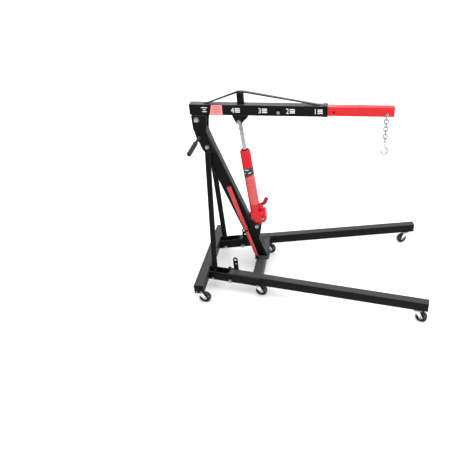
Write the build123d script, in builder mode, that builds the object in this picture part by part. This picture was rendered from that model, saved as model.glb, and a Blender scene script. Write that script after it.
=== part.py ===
"""Folding engine hoist crane: base, folding legs, mast, boom, hydraulic ram, casters and chain.

Frame: +X towards the leg tips, +Y to the left, +Z up, origin on the floor at the middle of the
object's box. Millimetres. Side profiles are drawn in (forward of the crossbar, height).
"""
from build123d import *
from math import atan2, cos, degrees, hypot, radians, sin, tan
import os

os.makedirs("parts", exist_ok=True)

# ---- clearances ----
PIN_GAP = 0.05          # radial, pins and shafts in their bores
SLIDE_GAP = 1.2         # each side, extension in boom
FACE_GAP = 0.4          # between faces of pieces that move on each other
SIDE_GAP = 1.5          # beside plates that turn between cheeks

# ---- base ----
CROSSBAR_DEPTH = 69.0
CROSSBAR_LENGTH = 814.0
CHANNEL_BOTTOM = 103.5
CHANNEL_HEIGHT = 74.0
CHANNEL_WIDTH = 69.5
CHANNEL_WALL = 4.0
CHANNEL_LENGTH = 417.0
CHANNEL_OFFSET = 198.0
SPLAY = 10.86
TUBE_WALL = 3.5
CROSSMEMBER_FRONT = 410.0
CROSSMEMBER_DEPTH = 68.0

# ---- legs ----
LEG_WIDTH = 58.0
LEG_HEIGHT = 72.5
LEG_BOTTOM = 108.0
LEG_TIP = 1655.0
LEG_HEEL = 34.0
PIVOT_ALONG = 180.0
PIVOT_HEIGHT = 116.0
PIVOT_BOLT_R = 8.0
LOCK_ALONG = 402.0
LOCK_PIN_R = 6.0
LOCK_TRAVEL = 12.0
SLOT_GAP = 8.0            # behind the folded leg, in the channel's floor
LUG_THICKNESS = 6.0
LUG_TOP = 287.0

# ---- casters ----
WHEEL_R = 43.0
WHEEL_WIDTH = 28.0
CASTER_TRAIL = 29.0
FORK_INSIDE = 32.0
FORK_SHEET = 2.5
AXLE_R = 5.0
KINGPIN_R = 6.0
PLATE_SIZE = 60.0
PLATE_THICKNESS = 4.0
REAR_CASTER_INSET = 38.0
MID_CASTER_ALONG = 398.0
TIP_CASTER_INSET = 70.0

# ---- mast ----
MAST_DEPTH = 84.0
MAST_WIDTH = 67.0
MAST_WALL = 4.0
MAST_LEAN = 19.35
MAST_TOP = 1250.0
MAST_AXIS_X = 386.0
FOOT_PLATE = 8.0
CHEEK = 8.0
BOOM_PIVOT_X = 4.0
BOOM_PIVOT_Z = 1315.7
BOOM_BOLT_R = 11.0
BRACE_BOLT_Z = 1118.0
BRACE_WIDTH = 38.0
BRACE_THICKNESS = 20.0
BRACE_TAB = 6.0
BRACE_FOOT_X = 42.0
BRACE_FOOT_Z = 119.0
BRACE_BOLT_R = 7.0
PUSH_BAR_X = 4.0
PUSH_BAR_Z = 1182.0
PUSH_BAR_R = 10.0
PUSH_BAR_END = 302.0
GRIP_R = 16.5
GRIP_LENGTH = 172.0

# ---- boom ----
BOOM_WIDTH = 64.0
BOOM_HEIGHT = 72.0
BOOM_BOTTOM = 1346.8
BOOM_REAR = -39.0
BOOM_FRONT = 888.0
BOOM_WALL = 3.5
EXT_END = 1330.6
EXT_REAR = 360.0
EXT_WALL = 3.5
HOLE_PITCH = 184.0
LOCK_HOLE_X = 560.0
KING_POST_X = 306.0
KING_POST_DEPTH = 44.0
KING_POST_TOP = 1497.0
STRAP = 10.0
STRAP_WIDTH = 26.0
STRAP_REAR_X = 58.0
STRAP_FRONT_X = 812.0

# ---- chain and hook ----
CHAIN_BOLT_X = 1282.0
CHAIN_BOLT_R = 6.0
WIRE_R = 4.0
LINK_BEND = 13.0
LINK_GAP = 0.3
LINK_STRAIGHT = 9.0
HOOK_THICKNESS = 12.0
HOOK_OUTER = 31.0
HOOK_THROAT = 13.5
HOOK_EYE_OUTER = 15.0
HOOK_EYE_INNER = 9.0

# ---- ram ----
RAM_FOOT_X = 361.6
RAM_FOOT_Z = 467.0
RAM_HEAD_X = 289.0
RAM_HEAD_Z = 1300.0
RAM_PIN_R = 9.5
RAM_PLATE = 6.0
CYLINDER_R = 35.0
BORE_R = 29.0
CYLINDER_START = 120.0
CYLINDER_END = 596.0
CAP_END = 620.0
CAP_BORE_R = 26.0
ROD_R = 14.0
ROD_START = 330.0
ROD_EYE_R = 20.0
ROD_EYE_WIDTH = 34.0
BASE_HALF = 32.0
PLUNGER_R = 8.0
PLUNGER_AHEAD = 23.0      # pump barrel ahead of the cylinder's wall
SOCKET_BORE_R = 11.0
SOCKET_WALL = 4.0
SOCKET_LENGTH = 46.0

# ---- pump handle ----
HANDLE_LOW = (351.0, 189.0)
HANDLE_TOP = (180.0, 814.0)
HANDLE_Y = 58.0
HANDLE_UPPER_R = 15.5
HANDLE_LOWER_R = 12.5
HANDLE_TIP_R = 10.5
HANDLE_JOINT = 0.42

# ---- derived places ----
splay = radians(SPLAY)
tip_front = LEG_TIP * cos(splay) + LEG_WIDTH / 2 * sin(splay)
base_x = -(tip_front - CROSSBAR_DEPTH) / 2
channel_top = CHANNEL_BOTTOM + CHANNEL_HEIGHT
leg_top = LEG_BOTTOM + LEG_HEIGHT
# the floor slot reaches behind the pivot past the folded leg's upper face
slot_rear = leg_top - PIVOT_HEIGHT + SLOT_GAP
slot_front = LEG_HEEL + 3.0
# the lock pin passes over the leg's lower wall
lock_height = LEG_BOTTOM + TUBE_WALL + LOCK_PIN_R + 1.0
boom_top = BOOM_BOTTOM + BOOM_HEIGHT
boom_mid = BOOM_BOTTOM + BOOM_HEIGHT / 2
ext_width = BOOM_WIDTH - 2 * (BOOM_WALL + SLIDE_GAP)
ext_height = BOOM_HEIGHT - 2 * (BOOM_WALL + SLIDE_GAP)
ext_bottom = boom_mid - ext_height / 2
cheek_in = MAST_WIDTH / 2
cheek_out = cheek_in + CHEEK
lean = radians(MAST_LEAN)
mast_base_z = channel_top + FOOT_PLATE
chain_bolt_z = ext_bottom + 16.5


def side(y, outward=-1):
    """Plane of a side profile at height y across: local x forward of the crossbar, local y up."""
    if outward < 0:
        return Plane(origin=(base_x, y, 0), x_dir=(1, 0, 0), z_dir=(0, -1, 0))
    return Plane(origin=(base_x, y, 0), x_dir=(-1, 0, 0), z_dir=(0, 1, 0))


def along(offset):
    """Side plane of the right channel and leg, offset outwards: local x along, local y up."""
    d = Vector(cos(splay), -sin(splay), 0)
    n = Vector(-sin(splay), -cos(splay), 0)
    start = Vector(base_x, -CHANNEL_OFFSET, 0) + n * offset
    return Plane(origin=start, x_dir=d, z_dir=n)


def along_point(distance, height=0.0):
    """Point on the right channel's centre line."""
    return Vector(
        base_x + distance * cos(splay),
        -CHANNEL_OFFSET - distance * sin(splay),
        height,
    )


def save(part, name):
    part.label = name
    export_step(part, "parts/" + name + ".step")


def hex_bolt(plane, radius, grip, head, washer=0.0):
    """Bolt along the plane's normal: the grip lies behind the plane, the head in front of it."""
    seat = 2.0 if washer else 0.0
    with BuildPart() as bolt:
        with BuildSketch(plane):
            Circle(radius)
        extrude(amount=-(grip + 2 * seat + 0.9 * head))
        if washer:
            with BuildSketch(plane):
                Circle(washer)
            extrude(amount=seat)
            with BuildSketch(plane.offset(-grip)):
                Circle(washer)
            extrude(amount=-seat)
        with BuildSketch(plane.offset(seat)):
            RegularPolygon(head / 2, 6, major_radius=False)
        extrude(amount=0.45 * head)
        with BuildSketch(plane.offset(-(grip + seat))):
            RegularPolygon(head / 2, 6, major_radius=False)
        extrude(amount=-0.55 * head)
        with BuildSketch(plane):
            Circle(radius)
        extrude(amount=seat + 0.2 * head)
    return bolt.part


# ---- rear crossbar ----
crossbar_mid_x = base_x - CROSSBAR_DEPTH / 2
with BuildPart() as rear_crossbar:
    with Locations((crossbar_mid_x, 0, CHANNEL_BOTTOM + CHANNEL_HEIGHT / 2)):
        Box(CROSSBAR_DEPTH, CROSSBAR_LENGTH, CHANNEL_HEIGHT)
    fillet(rear_crossbar.edges().filter_by(Axis.Y), radius=5)
    with Locations((crossbar_mid_x, 0, CHANNEL_BOTTOM + CHANNEL_HEIGHT / 2)):
        Box(
            CROSSBAR_DEPTH - 2 * TUBE_WALL,
            CROSSBAR_LENGTH - 2 * TUBE_WALL,
            CHANNEL_HEIGHT - 2 * TUBE_WALL,
            mode=Mode.SUBTRACT,
        )

end_bolts = [
    hex_bolt(
        Plane(
            origin=(crossbar_mid_x + dx, -CROSSBAR_LENGTH / 2, CHANNEL_BOTTOM + 16),
            x_dir=(1, 0, 0),
            z_dir=(0, -1, 0),
        ),
        4.0,
        TUBE_WALL,
        12.0,
    )
    for dx in (-18.0, 18.0)
]
with BuildPart() as crossbar_bolt_holes:
    for dx in (-18.0, 18.0):
        with Locations(Location((crossbar_mid_x + dx, 0, CHANNEL_BOTTOM + 16), (90, 0, 0))):
            Cylinder(4.0, CROSSBAR_LENGTH + 40)
with BuildPart() as rear_crossbar_drilled:
    add(rear_crossbar.part)
    add(crossbar_bolt_holes.part, mode=Mode.SUBTRACT)
save(rear_crossbar_drilled.part, "rear_crossbar")
with BuildPart() as crossbar_end_bolts:
    for piece in end_bolts:
        add(piece)
        mirror(piece, about=Plane.XZ)
save(crossbar_end_bolts.part, "crossbar_end_bolts")

# ---- side channels ----
half_channel = CHANNEL_WIDTH / 2
inner_channel = half_channel - CHANNEL_WALL
with BuildPart() as right_channel:
    with BuildSketch(along(-half_channel)):
        with BuildLine():
            Polyline(
                (-30, CHANNEL_BOTTOM),
                (CHANNEL_LENGTH, CHANNEL_BOTTOM),
                (CHANNEL_LENGTH, channel_top),
                (-30, channel_top),
                close=True,
            )
        make_face()
    extrude(amount=CHANNEL_WIDTH)
    with BuildSketch(along(-inner_channel)):
        with BuildLine():
            Polyline(
                (-60, CHANNEL_BOTTOM + CHANNEL_WALL),
                (CHANNEL_LENGTH + 10, CHANNEL_BOTTOM + CHANNEL_WALL),
                (CHANNEL_LENGTH + 10, channel_top + 10),
                (-60, channel_top + 10),
                close=True,
            )
        make_face()
    extrude(amount=2 * inner_channel, mode=Mode.SUBTRACT)
    # floor slot that the heel of the folded leg drops through
    with BuildSketch(along(-inner_channel)):
        with Locations((PIVOT_ALONG + (slot_front - slot_rear) / 2, CHANNEL_BOTTOM)):
            Rectangle(slot_front + slot_rear, 4 * CHANNEL_WALL)
    extrude(amount=2 * inner_channel, mode=Mode.SUBTRACT)
    # holes for the pivot, the brace foot and the lock pin
    with BuildSketch(along(-half_channel - 5)):
        with Locations((PIVOT_ALONG, PIVOT_HEIGHT)):
            Circle(PIVOT_BOLT_R)
        with Locations((BRACE_FOOT_X / cos(splay), BRACE_FOOT_Z)):
            Circle(BRACE_BOLT_R)
    extrude(amount=CHANNEL_WIDTH + 10, mode=Mode.SUBTRACT)
    with BuildSketch(along(inner_channel - 1)):
        with Locations((LOCK_ALONG, lock_height)):
            Circle(LOCK_PIN_R + PIN_GAP)
    extrude(amount=CHANNEL_WALL + 5, mode=Mode.SUBTRACT)
    with Locations((base_x - 100, -CHANNEL_OFFSET, CHANNEL_BOTTOM + CHANNEL_HEIGHT / 2)):
        Box(200, 400, CHANNEL_HEIGHT + 60, mode=Mode.SUBTRACT)
save(right_channel.part, "right_channel")
with BuildPart() as left_channel:
    mirror(right_channel.part, about=Plane.XZ)
save(left_channel.part, "left_channel")

# ---- front crossmember ----
def inner_face_y(x):
    """Distance from the middle to a channel's inner face."""
    return CHANNEL_OFFSET + x * tan(splay) - half_channel / cos(splay)


rear_x = CROSSMEMBER_FRONT - CROSSMEMBER_DEPTH


def crossmember_outline(shrink, x_shrink):
    x0 = rear_x + x_shrink
    x1 = CROSSMEMBER_FRONT - x_shrink
    y0 = inner_face_y(x0) - shrink
    y1 = inner_face_y(x1) - shrink
    return [
        (base_x + x0, -y0),
        (base_x + x1, -y1),
        (base_x + x1, y1),
        (base_x + x0, y0),
    ]


with BuildPart() as front_crossmember:
    with BuildSketch(Plane.XY.offset(CHANNEL_BOTTOM)):
        with BuildLine():
            Polyline(*crossmember_outline(0, 0), close=True)
        make_face()
    extrude(amount=CHANNEL_HEIGHT)
    with BuildSketch(Plane.XY.offset(CHANNEL_BOTTOM + TUBE_WALL)):
        with BuildLine():
            Polyline(*crossmember_outline(2 * TUBE_WALL, TUBE_WALL), close=True)
        make_face()
    extrude(amount=CHANNEL_HEIGHT - 2 * TUBE_WALL, mode=Mode.SUBTRACT)
save(front_crossmember.part, "front_crossmember")


# ---- mast ----
def mast_x(z, across=0.0):
    """Forward place of the mast's axis at a height, moved across the mast's depth."""
    return MAST_AXIS_X - (z - channel_top) * tan(lean) + across / cos(lean)


def mast_profile(half, z0, z1):
    return [
        (mast_x(z0, -half), z0),
        (mast_x(z0, half), z0),
        (mast_x(z1, half), z1),
        (mast_x(z1, -half), z1),
    ]


brace_bolt_x = mast_x(BRACE_BOLT_Z)
half_depth = MAST_DEPTH / 2
with BuildPart() as mast_tube:
    with BuildSketch(side(MAST_WIDTH / 2)):
        with BuildLine():
            Polyline(*mast_profile(half_depth, mast_base_z, MAST_TOP), close=True)
        make_face()
    extrude(amount=MAST_WIDTH)
    with BuildSketch(side(MAST_WIDTH / 2 - MAST_WALL)):
        with BuildLine():
            Polyline(
                *mast_profile(half_depth - MAST_WALL, mast_base_z - 20, MAST_TOP - MAST_WALL),
                close=True,
            )
        make_face()
    extrude(amount=MAST_WIDTH - 2 * MAST_WALL, mode=Mode.SUBTRACT)
    with Locations((base_x + MAST_AXIS_X - 2, 0, channel_top + FOOT_PLATE / 2)):
        Box(MAST_DEPTH + 20, MAST_WIDTH + 54, FOOT_PLATE)
    with BuildSketch(side(MAST_WIDTH)):
        with Locations((brace_bolt_x, BRACE_BOLT_Z)):
            Circle(BRACE_BOLT_R)
        with Locations((PUSH_BAR_X, PUSH_BAR_Z)):
            Circle(PUSH_BAR_R)
    extrude(amount=2 * MAST_WIDTH, mode=Mode.SUBTRACT)
save(mast_tube.part, "mast")

with BuildPart() as right_cheek:
    with BuildSketch(side(-cheek_in)):
        with BuildLine():
            Polyline(
                (BOOM_PIVOT_X - 35, BOOM_PIVOT_Z + 28),
                (BOOM_PIVOT_X - 33, BOOM_PIVOT_Z - 50),
                (mast_x(1195, -half_depth), 1195),
                (mast_x(1085, -half_depth), 1085),
                (mast_x(1070, half_depth - 8), 1070),
                (mast_x(1230, half_depth), 1230),
                (BOOM_PIVOT_X + 64, BOOM_PIVOT_Z - 24),
                (BOOM_PIVOT_X + 74, BOOM_PIVOT_Z + 28),
                close=True,
            )
        make_face()
        with Locations((BOOM_PIVOT_X, BOOM_PIVOT_Z)):
            Circle(BOOM_BOLT_R + PIN_GAP, mode=Mode.SUBTRACT)
        with Locations((brace_bolt_x, BRACE_BOLT_Z)):
            Circle(BRACE_BOLT_R, mode=Mode.SUBTRACT)
        with Locations((PUSH_BAR_X, PUSH_BAR_Z)):
            Circle(PUSH_BAR_R, mode=Mode.SUBTRACT)
    extrude(amount=CHEEK)
with BuildPart() as mast_cheeks:
    add(right_cheek.part)
    mirror(right_cheek.part, about=Plane.XZ)
save(mast_cheeks.part, "mast_cheeks")

# ---- rear braces ----
brace_top_y = cheek_out + BRACE_TAB / 2
brace_foot = along_point(BRACE_FOOT_X / cos(splay))
brace_foot_y = -brace_foot.Y
brace_lean = atan2(brace_foot_y - brace_top_y, BRACE_BOLT_Z - BRACE_FOOT_Z)
brace_fall = atan2(brace_bolt_x - BRACE_FOOT_X, BRACE_BOLT_Z - BRACE_FOOT_Z)


def brace_point(z):
    """Middle of the right brace at a height."""
    share = (BRACE_BOLT_Z - z) / (BRACE_BOLT_Z - BRACE_FOOT_Z)
    return Vector(
        base_x + brace_bolt_x + (BRACE_FOOT_X - brace_bolt_x) * share,
        -(brace_top_y + (brace_foot_y - brace_top_y) * share),
        z,
    )


top_of_tube = brace_point(BRACE_BOLT_Z - 45)
end_of_tube = brace_point(BRACE_FOOT_Z + 40)
tube_axis = (end_of_tube - top_of_tube).normalized()
tube_plane = Plane(
    origin=top_of_tube, x_dir=Vector(1, 0, 0) - tube_axis * tube_axis.X, z_dir=tube_axis
)
brace_outer_y = cheek_out + BRACE_TAB
foot_tab_bottom = CHANNEL_BOTTOM + CHANNEL_WALL + 1
foot_tab = 2 * (BRACE_FOOT_Z + 22 - foot_tab_bottom)
with BuildPart() as right_brace:
    with BuildSketch(tube_plane):
        Rectangle(BRACE_WIDTH, BRACE_THICKNESS)
    extrude(amount=(end_of_tube - top_of_tube).length)
    fillet(right_brace.edges().filter_by(lambda e: e.length > 400), radius=3)
    # upper tab against the cheek
    with BuildSketch(side(-cheek_out)):
        with Locations((brace_bolt_x, BRACE_BOLT_Z - 35)):
            SlotOverall(BRACE_WIDTH + 70, BRACE_WIDTH, rotation=90)
    extrude(amount=BRACE_TAB)
    # lower tab in the channel
    with BuildSketch(along(-BRACE_TAB / 2)):
        with Locations((BRACE_FOOT_X / cos(splay), foot_tab_bottom + foot_tab / 2)):
            SlotOverall(foot_tab, BRACE_WIDTH - 10, rotation=90)
    extrude(amount=BRACE_TAB)
    # keeps the tube outside the mast's cheek
    with Locations((base_x + brace_bolt_x, -cheek_out + 50, BRACE_BOLT_Z - 60)):
        Box(200, 100, 400, mode=Mode.SUBTRACT)
    with BuildSketch(side(0)):
        with Locations((brace_bolt_x, BRACE_BOLT_Z)):
            Circle(BRACE_BOLT_R)
    extrude(amount=brace_outer_y + 30, mode=Mode.SUBTRACT)
    with BuildSketch(along(-20)):
        with Locations((BRACE_FOOT_X / cos(splay), BRACE_FOOT_Z)):
            Circle(BRACE_BOLT_R)
    extrude(amount=40, mode=Mode.SUBTRACT)
save(right_brace.part, "right_brace")
with BuildPart() as left_brace:
    mirror(right_brace.part, about=Plane.XZ)
save(left_brace.part, "left_brace")

brace_top_bolt = hex_bolt(
    Plane(
        origin=(base_x + brace_bolt_x, -brace_outer_y, BRACE_BOLT_Z),
        x_dir=(1, 0, 0),
        z_dir=(0, -1, 0),
    ),
    BRACE_BOLT_R,
    2 * brace_outer_y,
    22.0,
    14.0,
)
foot_seat = along(half_channel)
foot_bolt = hex_bolt(
    Plane(
        origin=foot_seat.from_local_coords((BRACE_FOOT_X / cos(splay), BRACE_FOOT_Z, 0)),
        x_dir=foot_seat.x_dir,
        z_dir=foot_seat.z_dir,
    ),
    BRACE_BOLT_R,
    CHANNEL_WIDTH,
    20.0,
)
with BuildPart() as brace_bolts:
    add(brace_top_bolt)
    add(foot_bolt)
    mirror(foot_bolt, about=Plane.XZ)
save(brace_bolts.part, "brace_bolts")

# ---- push handle ----
with BuildPart() as push_bar:
    with BuildSketch(side(cheek_out + 14)):
        with Locations((PUSH_BAR_X, PUSH_BAR_Z)):
            Circle(PUSH_BAR_R)
    extrude(amount=cheek_out + 14 + PUSH_BAR_END)
    with BuildSketch(side(cheek_out + 14)):
        with Locations((PUSH_BAR_X, PUSH_BAR_Z)):
            RegularPolygon(1.5 * PUSH_BAR_R, 6)
    extrude(amount=14)
    with BuildSketch(side(-cheek_out)):
        with Locations((PUSH_BAR_X, PUSH_BAR_Z)):
            Circle(1.5 * PUSH_BAR_R)
    extrude(amount=5)
save(push_bar.part, "push_bar")
with BuildPart() as push_grip:
    with BuildSketch(side(-(PUSH_BAR_END + 4 - GRIP_LENGTH))):
        with Locations((PUSH_BAR_X, PUSH_BAR_Z)):
            Circle(GRIP_R)
    extrude(amount=GRIP_LENGTH)
    fillet(push_grip.edges().filter_by(GeomType.CIRCLE), radius=4)
    with BuildSketch(side(-(PUSH_BAR_END - GRIP_LENGTH - 10))):
        with Locations((PUSH_BAR_X, PUSH_BAR_Z)):
            Circle(PUSH_BAR_R)
    extrude(amount=GRIP_LENGTH + 10, mode=Mode.SUBTRACT)
save(push_grip.part, "push_grip")

# ---- ram foot plates on the mast ----
with BuildPart() as right_foot_plate:
    with BuildSketch(side(-cheek_in)):
        with BuildLine():
            Polyline(
                (mast_x(545, half_depth - 30), 545),
                (mast_x(545, half_depth), 545),
                (RAM_FOOT_X - 8, RAM_FOOT_Z + 30),
                (RAM_FOOT_X + 14, RAM_FOOT_Z + 26),
                (RAM_FOOT_X + 30, RAM_FOOT_Z + 8),
                (RAM_FOOT_X + 26, RAM_FOOT_Z - 16),
                (mast_x(352, half_depth), 352),
                (mast_x(330, half_depth - 30), 330),
                close=True,
            )
        make_face()
        with Locations((RAM_FOOT_X, RAM_FOOT_Z)):
            Circle(RAM_PIN_R + PIN_GAP, mode=Mode.SUBTRACT)
    extrude(amount=RAM_PLATE)
with BuildPart() as ram_foot_plates:
    add(right_foot_plate.part)
    mirror(right_foot_plate.part, about=Plane.XZ)
save(ram_foot_plates.part, "ram_foot_plates")

# ---- upright lugs that hold the folded legs ----
with BuildPart() as right_lug:
    with BuildSketch(along(-half_channel - LUG_THICKNESS)):
        with Locations((205, (LUG_TOP + channel_top - 40) / 2)):
            SlotOverall(LUG_TOP - channel_top + 40, 37, rotation=90)
        with Locations((190, channel_top - 20)):
            Rectangle(70, 40)
        with Locations((154, channel_top)):
            Circle(14)
        with Locations((205, LUG_TOP - 22)):
            Circle(9, mode=Mode.SUBTRACT)
        with Locations((209, LUG_TOP - 58)):
            Circle(6, mode=Mode.SUBTRACT)
    extrude(amount=LUG_THICKNESS)
with BuildPart() as leg_lugs:
    add(right_lug.part)
    mirror(right_lug.part, about=Plane.XZ)
save(leg_lugs.part, "leg_lugs")

# ---- legs ----
half_leg = LEG_WIDTH / 2
with BuildPart() as right_leg:
    with BuildSketch(along(-half_leg)):
        with BuildLine():
            Polyline(
                (PIVOT_ALONG - LEG_HEEL, LEG_BOTTOM),
                (LEG_TIP, LEG_BOTTOM),
                (LEG_TIP, leg_top),
                (PIVOT_ALONG - LEG_HEEL, leg_top),
                close=True,
            )
        make_face()
    extrude(amount=LEG_WIDTH)
    with BuildSketch(along(-half_leg + TUBE_WALL)):
        with BuildLine():
            Polyline(
                (PIVOT_ALONG - LEG_HEEL - 10, LEG_BOTTOM + TUBE_WALL),
                (LEG_TIP - TUBE_WALL, LEG_BOTTOM + TUBE_WALL),
                (LEG_TIP - TUBE_WALL, leg_top - TUBE_WALL),
                (PIVOT_ALONG - LEG_HEEL - 10, leg_top - TUBE_WALL),
                close=True,
            )
        make_face()
    extrude(amount=LEG_WIDTH - 2 * TUBE_WALL, mode=Mode.SUBTRACT)
    # rounded heel
    with BuildSketch(along(-half_leg - 5)):
        with Locations((PIVOT_ALONG - LEG_HEEL, leg_top)):
            Rectangle(60, 60)
        with Locations((PIVOT_ALONG - LEG_HEEL + 30, leg_top - 30)):
            Circle(30, mode=Mode.SUBTRACT)
        with Locations((PIVOT_ALONG - LEG_HEEL + 30, leg_top - 30)):
            Rectangle(60, 60, align=(Align.MIN, Align.MAX), mode=Mode.SUBTRACT)
    extrude(amount=LEG_WIDTH + 10, mode=Mode.SUBTRACT)
    # pivot bush through the tube
    with BuildSketch(along(-half_leg)):
        with Locations((PIVOT_ALONG, PIVOT_HEIGHT)):
            Circle(PIVOT_BOLT_R + 5)
    extrude(amount=LEG_WIDTH)
    with BuildSketch(along(-half_leg - 5)):
        with Locations((PIVOT_ALONG, PIVOT_HEIGHT)):
            Circle(PIVOT_BOLT_R + PIN_GAP)
    extrude(amount=LEG_WIDTH + 10, mode=Mode.SUBTRACT)
    with BuildSketch(along(half_leg - TUBE_WALL - 1)):
        with Locations((LOCK_ALONG, lock_height)):
            Circle(LOCK_PIN_R + 0.5)
        with Locations((PIVOT_ALONG + 145, PIVOT_HEIGHT + 30)):
            Circle(LOCK_PIN_R + 0.5)
    extrude(amount=TUBE_WALL + 5, mode=Mode.SUBTRACT)
save(right_leg.part, "right_leg")
with BuildPart() as left_leg:
    mirror(right_leg.part, about=Plane.XZ)
save(left_leg.part, "left_leg")


def across_channel(distance, height):
    """Plane on the right channel's outer face, normal outwards."""
    seat = along(half_channel)
    return Plane(
        origin=seat.from_local_coords((distance, height, 0)),
        x_dir=seat.x_dir,
        z_dir=seat.z_dir,
    )


leg_bolt = hex_bolt(
    across_channel(PIVOT_ALONG, PIVOT_HEIGHT), PIVOT_BOLT_R, CHANNEL_WIDTH, 24.0, 15.0
)
with BuildPart() as leg_pivot_bolts:
    add(leg_bolt)
    mirror(leg_bolt, about=Plane.XZ)
save(leg_pivot_bolts.part, "leg_pivot_bolts")

# lock pins, drawn back so that the legs are free to fold
pin_tip = half_leg + 1.0
with BuildPart() as right_lock_pin:
    with BuildSketch(along(pin_tip)):
        with Locations((LOCK_ALONG, lock_height)):
            Circle(LOCK_PIN_R)
    extrude(amount=half_channel + LOCK_TRAVEL + 1 - pin_tip)
    with BuildSketch(along(half_channel + LOCK_TRAVEL + 1)):
        with Locations((LOCK_ALONG, lock_height)):
            Circle(11)
    extrude(amount=9)
    chamfer(right_lock_pin.faces().filter_by(GeomType.PLANE).sort_by(Axis.Y)[0].edges(), 2)
save(right_lock_pin.part, "right_lock_pin")
with BuildPart() as left_lock_pin:
    mirror(right_lock_pin.part, about=Plane.XZ)
save(left_lock_pin.part, "left_lock_pin")

# ---- casters ----
race_bottom = CHANNEL_BOTTOM - PLATE_THICKNESS - 8
fork_top = race_bottom - FACE_GAP
fork_height = fork_top - 3.0


def caster_plate(thickness):
    """Mounting plate, swivel race and kingpin about the swivel's axis."""
    with BuildPart() as plate:
        with BuildSketch(Plane.XY.offset(CHANNEL_BOTTOM - PLATE_THICKNESS)):
            RectangleRounded(PLATE_SIZE, PLATE_SIZE, 6)
        extrude(amount=thickness)
        with BuildSketch(Plane.XY.offset(race_bottom)):
            Circle(24)
        extrude(amount=8)
        with BuildSketch(Plane.XY.offset(fork_height - 2.0)):
            Circle(KINGPIN_R)
        extrude(amount=12)
        with GridLocations(40, 40, 2, 2):
            with Locations((0, 0, CHANNEL_BOTTOM - PLATE_THICKNESS - 1.5)):
                Cylinder(5, 3)
    return plate.part


def axle_bolt():
    head_out = FORK_INSIDE / 2 + FORK_SHEET
    return hex_bolt(
        Plane(origin=(CASTER_TRAIL, -head_out, WHEEL_R), x_dir=(1, 0, 0), z_dir=(0, -1, 0)),
        AXLE_R,
        2 * head_out,
        13.0,
    )


with BuildPart() as caster_fork:
    with BuildSketch(Plane.XY.offset(fork_height)):
        Circle(25)
    extrude(amount=3)
    for edge in (1, -1):
        with BuildSketch(
            Plane(origin=(0, edge * FORK_INSIDE / 2, 0), x_dir=(1, 0, 0), z_dir=(0, -1, 0))
        ):
            with BuildLine():
                Polyline(
                    (-18, fork_top),
                    (-18, fork_top - 9),
                    (CASTER_TRAIL - 12, WHEEL_R - 9),
                    (CASTER_TRAIL - 5, WHEEL_R - 13),
                    (CASTER_TRAIL + 7, WHEEL_R - 12),
                    (CASTER_TRAIL + 12, WHEEL_R - 2),
                    (20, fork_top - 4),
                    (18, fork_top),
                    close=True,
                )
            make_face()
        extrude(amount=-edge * FORK_SHEET)
    with Locations((0, 0, fork_height)):
        Cylinder(KINGPIN_R + PIN_GAP, 20, mode=Mode.SUBTRACT)
    with Locations(
        Location((CASTER_TRAIL, 0, WHEEL_R), (90, 0, 0)),
    ):
        Cylinder(AXLE_R, 100, mode=Mode.SUBTRACT)

wheel_plane = Plane(
    origin=(CASTER_TRAIL, WHEEL_WIDTH / 2, WHEEL_R), x_dir=(1, 0, 0), z_dir=(0, -1, 0)
)
with BuildPart() as caster_wheel:
    with BuildSketch(wheel_plane):
        Circle(WHEEL_R)
    extrude(amount=WHEEL_WIDTH)
    fillet(caster_wheel.edges().filter_by(GeomType.CIRCLE), radius=4)
    # dished faces with a raised hub and a ring of holes
    for start, way in ((-6.0, 20.0), (WHEEL_WIDTH + 6.0, -20.0)):
        with BuildSketch(wheel_plane.offset(start)):
            Circle(WHEEL_R - 12)
            Circle(13, mode=Mode.SUBTRACT)
        extrude(amount=way * 0.6, mode=Mode.SUBTRACT)
    with BuildSketch(wheel_plane.offset(-5)):
        with PolarLocations(22, 6):
            Circle(5.5)
    extrude(amount=WHEEL_WIDTH + 10, mode=Mode.SUBTRACT)
    with BuildSketch(wheel_plane.offset(-5)):
        Circle(AXLE_R + PIN_GAP)
    extrude(amount=WHEEL_WIDTH + 10, mode=Mode.SUBTRACT)

rear_caster_y = CROSSBAR_LENGTH / 2 - REAR_CASTER_INSET
mid_spot = along_point(MID_CASTER_ALONG - PLATE_SIZE / 4)
tip_spot = along_point(LEG_TIP - TIP_CASTER_INSET)
caster_spots = {
    "right_rear": Location((crossbar_mid_x, -rear_caster_y, 0), (0, 0, 0)),
    "left_rear": Location((crossbar_mid_x, rear_caster_y, 0), (0, 0, 0)),
    "right_mid": Location((mid_spot.X, mid_spot.Y, 0), (0, 0, -4)),
    "left_mid": Location((mid_spot.X, -mid_spot.Y, 0), (0, 0, 3)),
    "right_front": Location((tip_spot.X, tip_spot.Y, 0), (0, 0, -22)),
    "left_front": Location((tip_spot.X, -tip_spot.Y, 0), (0, 0, 205)),
}
flat_plate = caster_plate(PLATE_THICKNESS)
tip_plate = caster_plate(PLATE_THICKNESS + LEG_BOTTOM - CHANNEL_BOTTOM)
fork_bolt = axle_bolt()
with BuildPart() as base_caster_plates:
    for name, turn in (("right_rear", 0), ("left_rear", 0), ("right_mid", -SPLAY), ("left_mid", SPLAY)):
        spot = caster_spots[name].position
        with Locations(Location((spot.X, spot.Y, 0), (0, 0, turn))):
            add(flat_plate)
save(base_caster_plates.part, "base_caster_plates")
for name, turn in (("right_front", -SPLAY), ("left_front", SPLAY)):
    spot = caster_spots[name].position
    with BuildPart() as tip_caster_plate:
        with Locations(Location((spot.X, spot.Y, 0), (0, 0, turn))):
            add(tip_plate)
    save(tip_caster_plate.part, name + "_caster_plate")
for name, spot in caster_spots.items():
    with BuildPart() as placed_fork:
        with Locations(spot):
            add(caster_fork.part)
            add(fork_bolt)
    save(placed_fork.part, name + "_fork")
    with BuildPart() as placed_wheel:
        with Locations(spot):
            add(caster_wheel.part)
    save(placed_wheel.part, name + "_wheel")

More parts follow.
